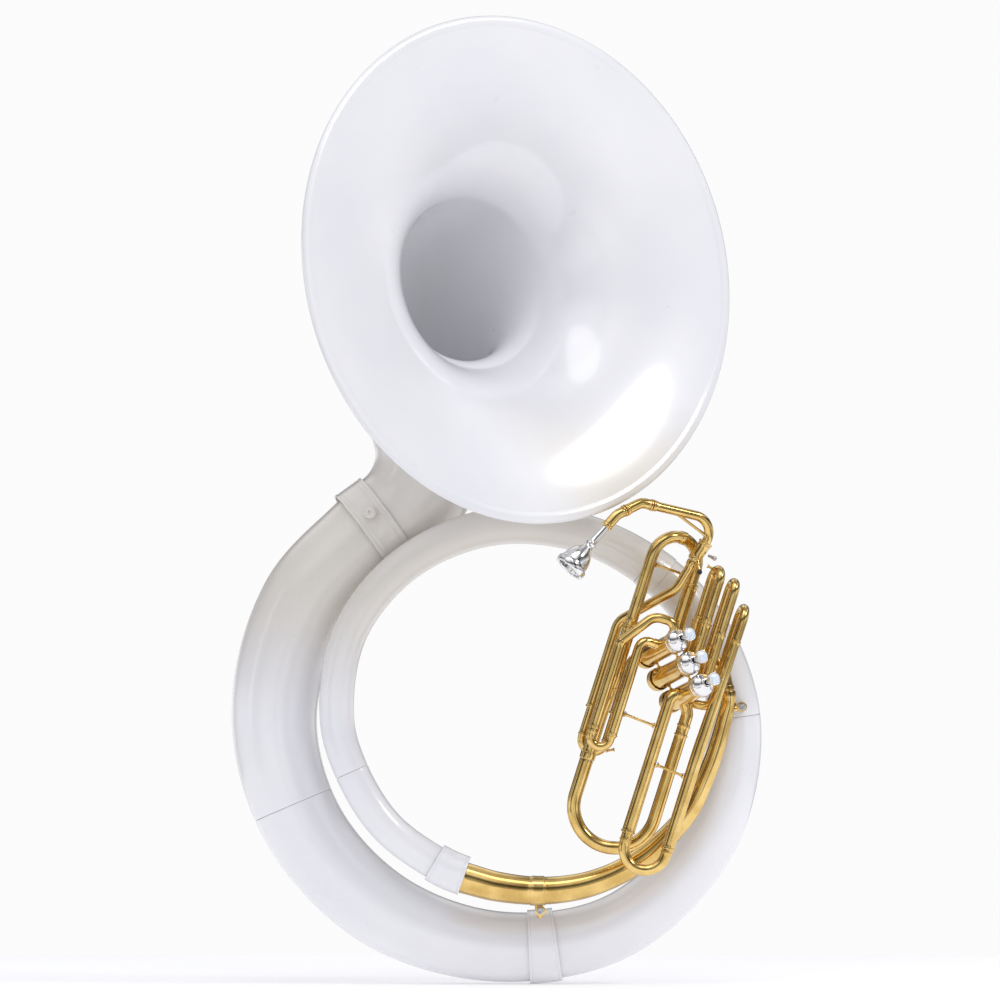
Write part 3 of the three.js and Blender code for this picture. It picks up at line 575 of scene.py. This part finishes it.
# ---- the bell ----
BELL_RADIUS, BELL_NECK, BELL_FLARE, BELL_TAIL = 324.5, 50, 31.5, 60.5
RIM_CENTRE = (1.3, -123.5, 351)
BELL_END = np.array(ring_point(-236, 283, 65))
NECK_CORNER = (-103.9, 72, 72.7)
BELL_ROUTE = Route(RIM_CENTRE, (-142.1, 86, 310.9, 150), (*NECK_CORNER, 110), BELL_END)


def flare(distance):
    return BELL_NECK + (BELL_RADIUS - BELL_NECK) / (1 + distance / BELL_FLARE)


def bell_radius(distance):
    taper = flare(BELL_ROUTE.length) - BELL_TAIL
    return flare(distance) - taper * (distance / BELL_ROUTE.length) ** 2


def bell_back(distance):
    slope = (bell_radius(distance + 0.1) - bell_radius(distance)) / 0.1
    size = math.hypot(1, slope)
    return (
        bell_radius(distance) + SHELL_WALL / size,
        distance - SHELL_WALL * slope / size,
    )


tail = BELL_ROUTE.length - 9
stops = [1.2 + (tail - 6) * (k / 110) ** 1.8 for k in range(111)]
rim = [(322.5, 6.9), (325, 7.2), (327.3, 6.2), (328.1, 3.8), (327.1, 1.4), (324.9, 0.1)]
bell_profile = [(324.5, 0), (317, 0)]
bell_profile += [(bell_radius(s), s) for s in stops]
bell_profile += [(bell_radius(tail), tail), (bell_radius(tail) + SHELL_WALL, tail)]
bell_profile += [bell_back(s) for s in reversed(stops) if s > 1.3]
bell_profile += rim
fine("bell", sweep(BELL_ROUTE, bell_profile, 180), SHELL, 60)

NECK_HEADING = unit(np.array(NECK_CORNER) - BELL_END)
collar_length, collar_radius = 40, 67.4
collar_route = Route(BELL_END - 14 * NECK_HEADING, BELL_END + 26 * NECK_HEADING)
collar_bands = [(0, 4, 0.5), (8, 1.2, 0.3), (30.8, 1.2, 0.3), (36, 4, 0.5)]
collar = tube_profile(collar_length, (collar_radius,) * 2, 2, collar_bands, 0.6)
fine("bell_collar", sweep(collar_route, collar, 96), SHELL, 50)

out = unit(np.array((0, -1, 0)) + NECK_HEADING * NECK_HEADING[1])
SCREW_OUT = rotation(NECK_HEADING, -18) @ out
screw_foot = BELL_END + 6 * NECK_HEADING + (collar_radius + GAP) * SCREW_OUT
screw_profile = [
    (0, 0), (3, 0), (3, 3), (6.6, 3), (7.6, 4), (7.6, 4.5), (7.6, 10), (7.6, 10.5), (6.4, 12.2),
    (2.4, 12.6), (2, 11), (0, 11),
]
knob = turned(screw_profile, 96, 0.4, aim(screw_foot, SCREW_OUT), ripple=(4.4, 10.1, 0.4, 24))
fine("bell_screw", knob, SHELL)

# ---- valves ----
CASING_HALF = 46
VALVE_X = {1: -32.5, 2: 0.0, 3: 32.5}
TRAVEL = 17


def on_valve(number, height):
    return tuple(BLOCK.out([(VALVE_X[number], 0, height)])[0])


casing = [
    (11.7, -46), (13, -46), (13, -34), (13.5, -33.6), (13.5, -32.6), (13, -32.2), (13, 31),
    (13.5, 31.4), (13.5, 32.4), (13, 32.8), (13, 46), (11.7, 46),
]
top_cap = [
    (13.6, 38), (14.8, 38), (15.1, 39.2), (14.7, 40.2), (14.7, 40.6), (14.7, 45.6), (14.7, 46),
    (14.9, 47), (13.9, 49.4), (12.2, 51.2), (9.6, 52.9), (7.6, 54.4), (6.6, 56.4), (5.6, 57.5),
    (3.4, 57.6), (3.4, 51), (13.2, 46.3),
]
bottom_cap = [
    (13.6, -38), (13.6, -46.3), (1.5, -47.5), (1.5, -50), (8, -50.2), (8.6, -49.6), (12.6, -49),
    (14.2, -47.6), (14.7, -46), (14.7, -45.6), (14.7, -40.6), (14.7, -40.2), (14.9, -38.8),
    (14.6, -38),
]
piston = [(0, 40), (11.3, 40), (11.3, -22), (8.6, -22), (8.6, -6), (0, -6)]
under = CASING_HALF + 12 + TRAVEL
button = [
    (0, 40.3), (2.4, 40.3), (2.4, under - 3), (4.6, under - 2.6), (4.6, under - 0.4),
    (7.4, under - 0.2), (8.5, under + 0.8), (8.5, under + 4.4), (7.9, under + 5),
    (7.3, under + 4.6), (7.3, under + 3.4), (0, under + 3.4),
]
pearl = [
    (0, under + 3.5), (7.2, under + 3.5), (7.2, under + 4.5), (4.4, under + 5.1), (0, under + 5.3),
]
turns = [
    (6.8 * math.cos(a), 6.8 * math.sin(a), -45.2 + 19 * k / 120)
    for k, a in ((k, k / 120 * 10 * math.pi) for k in range(121))
]
for number, x in VALVE_X.items():
    place = Place(at=(x, 0, 0), inside=VALVES)
    fine(f"valve_casing_{number}", turned(casing, 96, 0.25, place), BRASS)
    fine(f"top_cap_{number}", turned(top_cap, 144, 0.4, place, (40.5, 45.7, 0.28, 36)), SILVER)
    lower_grip = (-45.7, -40.5, 0.28, 36)
    fine(f"bottom_cap_{number}", turned(bottom_cap, 144, 0.4, place, lower_grip), BRASS)
    fine(f"piston_{number}", turned(piston, 48, 0.4, place), STEEL)
    coil = Spline(turns, 600)
    wire = sweep(coil, [(0, 0), (0.6, 0), (0.6, coil.length), (0, coil.length)], 10, 1.5, False)
    fine(f"piston_spring_{number}", (place.out(wire[0]), wire[1]), STEEL)
    fine(f"finger_button_{number}", turned(button, 72, 0.3, place), SILVER)
    trim(f"button_pearl_{number}", turned(pearl, 72, 0.3, place), PEARL, f"finger_button_{number}")
for gap_x in (-16.25, 16.25):
    for height in (-26, 26):
        ends = [(gap_x - 4, 0, height), (gap_x + 4, 0, height)]
        stay = bar(*ends, 1.5, 4.2, 1.6, place=VALVES)
        stay_name = f"casing_stay_{round(gap_x)}_{height}".replace("-", "m")
        trim(stay_name, stay, BRASS, "valve_casing_2")


# ---- brass tubes ----
def pipe(node, corners, radii, bands=(), valves=(), extra=(), place=CLUSTER):
    route = Route(*corners)
    profile = tube_profile(route.length, radii, BRASS_WALL, bands)
    shape = sweep(route, profile, 48, 4, place=place)
    obj = fine(node, joined(shape, *extra), BRASS)
    for valve in valves:
        trimmed(obj, valve)
    return obj


RECEIVER_TOP, RECEIVER_FOOT = (2.6, -58, 186), (-5.6, -57, 158.5)
NECK_START = (-76.5, -87, 210.2)
NECK_BEND = between(RECEIVER_TOP, RECEIVER_FOOT, -1.12)
BIT_BEND = between(NECK_START, NECK_BEND, -0.17)
BIT_START, BIT_CORNER = (-125.5, -112, 165.5), (-116.5, -107, 185.3)
BIT_JOINT = between(BIT_CORNER, BIT_BEND, 0.345)


def bit(node, start, corner, joint, bend):
    reach = np.linalg.norm(np.subtract(joint, corner))
    body = Route(start, (*corner, bend), joint).length - 1.3
    corners = (start, (*corner, bend), between(corner, joint, 1 + 9 / reach))
    whole = Route(*corners).length
    radii = [(0, 5.7), (body, 5.7), (body + 1, 4.6), (whole, 4.5)]
    bands = [(0, 1.2, 2.3), (1.6, 2.6, 1.7), (5, body - 7.5, 1.1), (body - 2, 2, 2)]
    pipe(node, corners, radii, bands)


bit("tuning_bit_1", BIT_START, BIT_CORNER, BIT_JOINT, 14)
bit("tuning_bit_2", BIT_JOINT, BIT_BEND, NECK_START, 12)
neck_tail = between(RECEIVER_TOP, RECEIVER_FOOT, 0.55)
neck_brace = bar(
    between(NECK_START, NECK_BEND, 0.28), between(NECK_BEND, RECEIVER_TOP, 0.8), 1.8, 3.2, 9,
    place=CLUSTER,
)
pipe(
    "neck", (NECK_START, (*NECK_BEND, 24), neck_tail), (6, 6.2),
    [(0, 1.4, 1.6), (1.8, 3, 1)], extra=[neck_brace],
)
pipe(
    "neck_receiver", (RECEIVER_TOP, RECEIVER_FOOT), (8.2, 8.2),
    [(0, 3, 1), (4, 1, 0.4), (24, 3, 1), (22.4, 1, 0.4)],
)


def ball(radius, height):
    arc = [math.pi * k / 12 for k in range(13)]
    return [(radius * math.sin(a), height - radius * math.cos(a)) for a in arc]


def ended(start, end, radius, ball_radius):
    """A thin bar with a ball on its end."""
    length = np.linalg.norm(np.subtract(end, start))
    own = aim(start, np.subtract(end, start))
    own.inside = CLUSTER
    points = ball(ball_radius, length)
    join = next(i for i, p in enumerate(points) if p[0] > radius)
    return turned([(0, 0), (radius, 0), *points[join:-1], (0, length + ball_radius)], 32, 0, own)


fine("neck_screw", ended((10.4, -59, 170.5), (19, -61.8, 169.4), 1.7, 3), STEEL)
trim(
    "receiver_lever",
    bar((-1, -64.4, 160), (5.4, -69.5, 149.6), 1.9, 2.6, 3, place=CLUSTER), BRASS, "neck_receiver",
)
trim(
    "receiver_lever_tip",
    turned(ball(3.4, 0), 32, 0, Place(at=(6, -70, 147), inside=CLUSTER)), BLACK, "neck_receiver",
)

mouthpiece_axis = unit(np.subtract(BIT_CORNER, BIT_START))
rim_middle = np.array(BIT_START) - 73.5 * mouthpiece_axis
mouthpiece = [
    (16.2, 1.6), (17, 0.6), (18.4, 0.1), (19.8, 0.5), (20.8, 1.7), (21.2, 3.6), (21.2, 6.6),
    (20.7, 8.6), (19.2, 10.4), (18.2, 12.2), (17.8, 15), (17, 19.5), (15.4, 24.4), (12.9, 29),
    (9.8, 33), (7.4, 36.2), (6.2, 39), (6, 41.4), (6.6, 42.4), (7.4, 43.6), (7.3, 45), (6, 46.4),
    (5.4, 48), (5.1, 52), (4.5, 72), (4.3, 86), (3.5, 86), (3.5, 44), (3.8, 39), (5.6, 34),
    (9, 29.2), (11.7, 24.6), (13.6, 19.6), (14.9, 13.6), (15.6, 8),
]
cup = aim(rim_middle, mouthpiece_axis)
cup.inside = CLUSTER
fine("mouthpiece", turned(mouthpiece, 96, 0.5, cup), SILVER, 60)

LEAD_Y, LEAD_LEFT, LEAD_RIGHT = -30, -73.5, -42.5
LEAD_LEG, LEAD_SLEEVE = 5.8, 7.0
pipe(
    "leadpipe",
    (
        between(RECEIVER_TOP, RECEIVER_FOOT, 1.02), (-15.5, -55, 117, 30),
        (LEAD_LEFT, LEAD_Y, 56, 24), (LEAD_LEFT, LEAD_Y, -60),
    ),
    (6.1, LEAD_SLEEVE), [(0.1, 7, 1.2), (-3, 3, 0.9)],
)


def bow_corners(xs, ys, leg_end, low):
    bend = math.hypot(xs[1] - xs[0], ys[1] - ys[0]) / 2 - 0.1
    return (
        (xs[0], ys[0], leg_end), (xs[0], ys[0], low, bend), (xs[1], ys[1], low, bend),
        (xs[1], ys[1], leg_end),
    )


def ring_bands(length, leg, height=0.8, width=2.4):
    """A ferrule where each bare leg meets its bow."""
    return [(leg, width, height), (length - leg - width, width, height)]


def bow(node, xs, ys, leg_end, low, radius, leg, *extra):
    corners = bow_corners(xs, ys, leg_end, low)
    length = Route(*corners).length
    pipe(node, corners, (radius, radius), ring_bands(length, leg), extra=extra)


def pull_knob(start, end):
    return bar(start, end, 1.5, 2.8, 1.8, place=CLUSTER)


bow(
    "lead_slide", (LEAD_LEFT, LEAD_RIGHT), (LEAD_Y, LEAD_Y), -20, -113.5, LEAD_LEG, 74,
    pull_knob((-39, LEAD_Y, -107), (-29, LEAD_Y, -102)),
)
SOCKET = (-16.5, 16.5, 0.7)
pipe(
    "lead_return",
    ((LEAD_RIGHT, LEAD_Y, -60), (LEAD_RIGHT, LEAD_Y, 16, 14), on_valve(1, -29)),
    (LEAD_SLEEVE, 6.4), [(0.5, 3, 0.9), SOCKET], [1],
)

TUNING_X, TUNING_Y = (-58, 0.7), (-64, -32)
TUNING_LEG, TUNING_SLEEVE = 7.7, 8.9
tuning_corners = bow_corners(TUNING_X, TUNING_Y, 0, 182)[:3] + ((TUNING_X[1], TUNING_Y[1], 76),)
tuning_bands = [(60, 2.4, 0.8), (199, 7, 0.9), (298, 2.4, 0.8)]
pipe("tuning_slide", tuning_corners, (TUNING_LEG,) * 2, tuning_bands)
fine(
    "tuning_slide_brace",
    bar((-50.4, -60, 139), (-7.2, -36, 138), 1.7, 3.8, 4, place=CLUSTER), BRASS,
)
LOW_Y, LOW_LEFT, LOW_RIGHT = -50, -59.5, 45.9
pipe(
    "tuning_sleeve",
    (
        (TUNING_X[0], TUNING_Y[0], 57), (TUNING_X[0], TUNING_Y[0], -15, 50),
        (LOW_LEFT, LOW_Y, -72, 50), (LOW_LEFT, LOW_Y, -124),
    ),
    (TUNING_SLEEVE,) * 2, [(0, 2.5, 1.5), (4.5, 2.5, 1.5), (83, 2.5, 0.9), (-9, 9, 1.3)],
)
low_bend = (LOW_RIGHT - LOW_LEFT) / 2 - 0.1
pipe(
    "lower_bow",
    (
        (LOW_LEFT, LOW_Y, -124.3), (LOW_LEFT, LOW_Y, -224, low_bend),
        (LOW_RIGHT, LOW_Y - 1, -224, low_bend), (LOW_RIGHT, LOW_Y - 1, -30, 12), on_valve(3, -8),
    ),
    (9, 7.8), [(-54, 2.2, 1), (-42, 2.2, 1), SOCKET], [3],
)

BRANCH_TOP = (86.1, -20.8, 12)
pipe(
    "return_tube",
    (
        (TUNING_X[1], TUNING_Y[1], 130), (TUNING_X[1], TUNING_Y[1], 60, 20), (70, -18, 40, 26),
        BRANCH_TOP,
    ),
    (TUNING_SLEEVE, 9.4), [(0, 3, 1), (5, 1.6, 0.6), (-6, 6, 1)],
)
BRANCH_STATIONS = [
    (6.14, 295.4, -20.8), (4.82, 296.3, -21.4), (2.8, 295.2, -22), (-0.3, 290.7, -22),
    (-8, 283, -22), (-16, 277.5, -22), (-27, 273, -22), (-45, 259, -22), (-60, 246, -22),
    (-75, 231, -21), (-90, 218, -20), (-102.2, 211, -20),
]
BRANCH = Spline([ring_point(*s) for s in BRANCH_STATIONS], 900)
branch = BRANCH.part(BRANCH.length * 0.0025, BRANCH.length)
branch_bands = [(0, 7, 1), (branch.length * 0.78, 18, 1)]
branch_profile = tube_profile(branch.length, (9.5, 20.2), BRASS_WALL, branch_bands)
fine("brass_branch", sweep(branch, branch_profile, 72, 5), BRASS)

FIRST_X, FIRST_Y = (-63.5, -39), -84
bow("first_slide", FIRST_X, (FIRST_Y, FIRST_Y), -35, -104.2, 5.8, 51)
pipe(
    "first_sleeve_left",
    (
        (FIRST_X[0], FIRST_Y, -83), (FIRST_X[0], FIRST_Y, 32, 9), (-48, FIRST_Y, 54, 14),
        (-32, -80, 76, 20), (-2, -77, 76, 12), on_valve(1, 21),
    ),
    (7, 6), [(0, 2.5, 0.9), (112, 5, 0.8), SOCKET], [1],
)
pipe(
    "first_sleeve_right",
    ((FIRST_X[1], FIRST_Y, -86), (FIRST_X[1], FIRST_Y, 43, 11), on_valve(1, 10)),
    (7, 6), [(0, 2.5, 0.9), SOCKET], [1],
)

SECOND_X, SECOND_Y = (34, 23), (-72, -46)
bow(
    "second_slide", SECOND_X, SECOND_Y, 60, 157, 5.7, 30,
    pull_knob((21, -50, 156), (13.5, -50, 157.5)),
)
for side, height in ((0, 17), (1, -4)):
    x, y = SECOND_X[side], SECOND_Y[side]
    pipe(
        f"second_sleeve_{('front', 'back')[side]}",
        ((x, y, 87), (x, y, 38, 9), on_valve(2, height)), (6.9, 6.2), [(0, 2.5, 0.8), SOCKET], [2],
    )
cross_bend = math.hypot(6.5, 22) / 2 - 0.1
pipe(
    "crossover_loop",
    (
        on_valve(3, 21), (55.5, -74, 16, 8), (55.5, -72, 147, cross_bend),
        (49, -50, 147, cross_bend), (49, -50, 22, 12), on_valve(3, 0),
    ),
    (6.2, 6.2), [(0, 16.5, 0.7), (80, 2.4, 0.8), (250, 2.4, 0.8), SOCKET], [3],
)

THIRD_X, THIRD_Y = (18.5, 73.5), -72
bow("third_slide", THIRD_X, (THIRD_Y, THIRD_Y), -110, -238, 7.2, 96)
pipe(
    "third_sleeve_left",
    ((THIRD_X[0], THIRD_Y, -198), (THIRD_X[0], THIRD_Y, -14, 12), on_valve(3, 5)),
    (8.4, 7.6), [(0, 3, 0.9), SOCKET], [3],
)
top_bend = math.hypot(6.5, 30) / 2 - 0.1
pipe(
    "third_sleeve_right",
    (
        (THIRD_X[1], THIRD_Y, -203), (THIRD_X[1], THIRD_Y, -60, 300),
        (77.5, -68, 119.5, top_bend), (71, -38, 119.5, top_bend), (71, -38, -14, 12),
        on_valve(3, -30),
    ),
    [(0, 8.4), (120, 8.4), (300, 6), (600, 6)], [(0, 3, 0.9), (278, 2.4, 0.8), SOCKET], [3],
)
for node, ends in {
    "first_cross_brace": ((-31.4, -83, -54.5), (9.6, -73, -57.5)),
    "third_cross_brace": ((27.4, THIRD_Y, -104), (64.6, THIRD_Y, -107.5)),
}.items():
    fine(node, bar(*ends, 1.8, 4, 2.6, place=CLUSTER), BRASS)


# ---- brackets ----
def bracket(node, head, depth, boss_radius, arm_from, arm_to):
    boss = turned(
        [(0, 0), (boss_radius, 0), (boss_radius, depth), (0, depth)], 64, 1, aim(head, (0, 1, 0))
    )
    arm = bar(ring_point(*arm_from), ring_point(*arm_to), 4, 4.2, 2)
    fine(node, joined(boss, arm), BRASS)
    nut = [(0, 0), (5.2, 0), (5.2, 4.2), (4.4, 5), (2.6, 5), (2.2, 3.4), (0, 3.4)]
    foot = (head[0], head[1] - GAP, head[2])
    fine(f"{node}_screw", turned(nut, 6, 0.3, aim(foot, (0, -1, 0))), STEEL, 25)


bracket("bottom_bracket", (28.8, -12, -469), 16, 7, (-78, 238, -14.5), (-78, 262, 2))
bracket("side_bracket", (287, -20, -208), 26, 6.5, (1.7, 301, -18), (2.2, 311, -12))

# ---- floor, light and camera ----
FLOOR_RADIUS = 1.6
FLOOR_GLOW = 0.2
SOFT_LIGHT = 0.82
REFLECTED_LIGHT = 1.1
SOFT_COLOUR = (0.95, 0.955, 1.0, 1)
BACKDROP_WHITE = (0.972, 0.968, 0.972, 1)
CAMERA_PLACE = (-0.0224, -24.0, 0.0567)
lowest = cad_box[0][2]
floor = bpy.data.meshes.new("studio_floor")
bm = bmesh.new()
bmesh.ops.create_circle(bm, cap_ends=True, segments=96, radius=FLOOR_RADIUS)
bmesh.ops.translate(bm, verts=bm.verts, vec=(0, 0, lowest))
bm.to_mesh(floor)
bm.free()
PAPER = material(
    "studio_paper", ((0.90, 0.90, 0.905), (0.92, 0.92, 0.925)), 0, (0.7, 0.9), 0,
    mottle=2, smear=3, grain=60, bump=0.01, depth=0.0005,
)
glow = PAPER.node_tree.nodes["Principled BSDF"].inputs
glow["Emission Color"].default_value = (1, 0.995, 1, 1)
glow["Emission Strength"].default_value = FLOOR_GLOW
floor.materials.append(PAPER)
floor_object = bpy.data.objects.new("studio_floor", floor)
bpy.context.collection.objects.link(floor_object)


def lamp(name, azimuth, elevation, distance, size, power, colour=(1, 1, 1)):
    """A soft round lamp that looks at the middle of the object."""
    a, e = math.radians(azimuth), math.radians(elevation)
    towards = Vector((math.sin(a) * math.cos(e), -math.cos(a) * math.cos(e), math.sin(e)))
    light = bpy.data.lights.new(name, "AREA")
    light.shape, light.size, light.size_y = "ELLIPSE", *size
    light.energy, light.color = power, colour
    obj = bpy.data.objects.new(name, light)
    obj.location = towards * distance + Vector((0, 0, 0.05))
    obj.rotation_euler = (-towards).to_track_quat("-Z", "Y").to_euler()
    bpy.context.collection.objects.link(obj)


lamp("key", 61, 33, 3.3, (1.0, 0.7), 16, (1, 0.995, 0.98))
lamp("top", 5, 62, 3.2, (2.4, 1.4), 16)
lamp("left", -70, 10, 3.4, (0.5, 2.4), 3, (0.97, 0.98, 1))


def studio_world():
    """White to look at, soft for lighting, and banded light and dark for reflections."""
    world = bpy.data.worlds.new("studio")
    bpy.context.scene.world = world
    world.use_nodes = True
    nodes, links = world.node_tree.nodes, world.node_tree.links
    where = nodes.new("ShaderNodeTexCoord")
    split = nodes.new("ShaderNodeSeparateXYZ")
    links.new(where.outputs["Generated"], split.inputs["Vector"])

    def bands(axis, stops):
        spread = nodes.new("ShaderNodeMapRange")
        spread.inputs["From Min"].default_value = -1
        links.new(split.outputs[axis], spread.inputs["Value"])
        ramp = nodes.new("ShaderNodeValToRGB")
        ramp.color_ramp.interpolation = "EASE"
        elements = ramp.color_ramp.elements
        for place, value in stops[2:]:
            elements.new(place)
        for element, (place, value) in zip(elements, sorted(stops)):
            element.position, element.color = place, (value, value, value, 1)
        links.new(spread.outputs["Result"], ramp.inputs["Fac"])
        return ramp.outputs["Color"]

    height = bands("Z", [
        (0.0, 0.3), (0.3, 0.14), (0.43, 0.7), (0.51, 1.0), (0.6, 0.28), (0.7, 0.1), (0.8, 0.9),
        (0.92, 1.0), (1.0, 0.4),
    ])
    across = bands("X", [
        (0.0, 0.9), (0.12, 0.22), (0.24, 1.0), (0.46, 0.9), (0.52, 0.35), (0.6, 1.0),
        (0.76, 0.2), (0.88, 1.0), (1.0, 0.7),
    ])
    product = nodes.new("ShaderNodeMix")
    product.data_type, product.blend_type = "RGBA", "MULTIPLY"
    product.inputs["Factor"].default_value = 1
    links.new(height, product.inputs[6])
    links.new(across, product.inputs[7])
    path = nodes.new("ShaderNodeLightPath")
    shown = nodes["World Output"].inputs["Surface"]
    soft = nodes["Background"]
    soft.inputs["Color"].default_value = SOFT_COLOUR
    soft.inputs["Strength"].default_value = SOFT_LIGHT
    banded, white = nodes.new("ShaderNodeBackground"), nodes.new("ShaderNodeBackground")
    links.new(product.outputs[2], banded.inputs["Color"])
    banded.inputs["Strength"].default_value = REFLECTED_LIGHT
    white.inputs["Color"].default_value = BACKDROP_WHITE
    before = soft.outputs["Background"]
    for ray, other in (("Is Glossy Ray", banded), ("Is Camera Ray", white)):
        choice = nodes.new("ShaderNodeMixShader")
        links.new(path.outputs[ray], choice.inputs["Fac"])
        links.new(before, choice.inputs[1])
        links.new(other.outputs["Background"], choice.inputs[2])
        before = choice.outputs["Shader"]
    links.new(before, shown)


studio_world()
bpy.context.scene.view_settings.view_transform = "Standard"

camera = bpy.data.cameras.new("camera")
camera.lens, camera.sensor_width = 675, 36
camera.clip_start, camera.clip_end = 0.1, 90
eye = bpy.data.objects.new("camera", camera)
eye.location = CAMERA_PLACE
eye.rotation_euler = (math.pi / 2, 0, 0)
bpy.context.collection.objects.link(eye)
bpy.context.scene.camera = eye
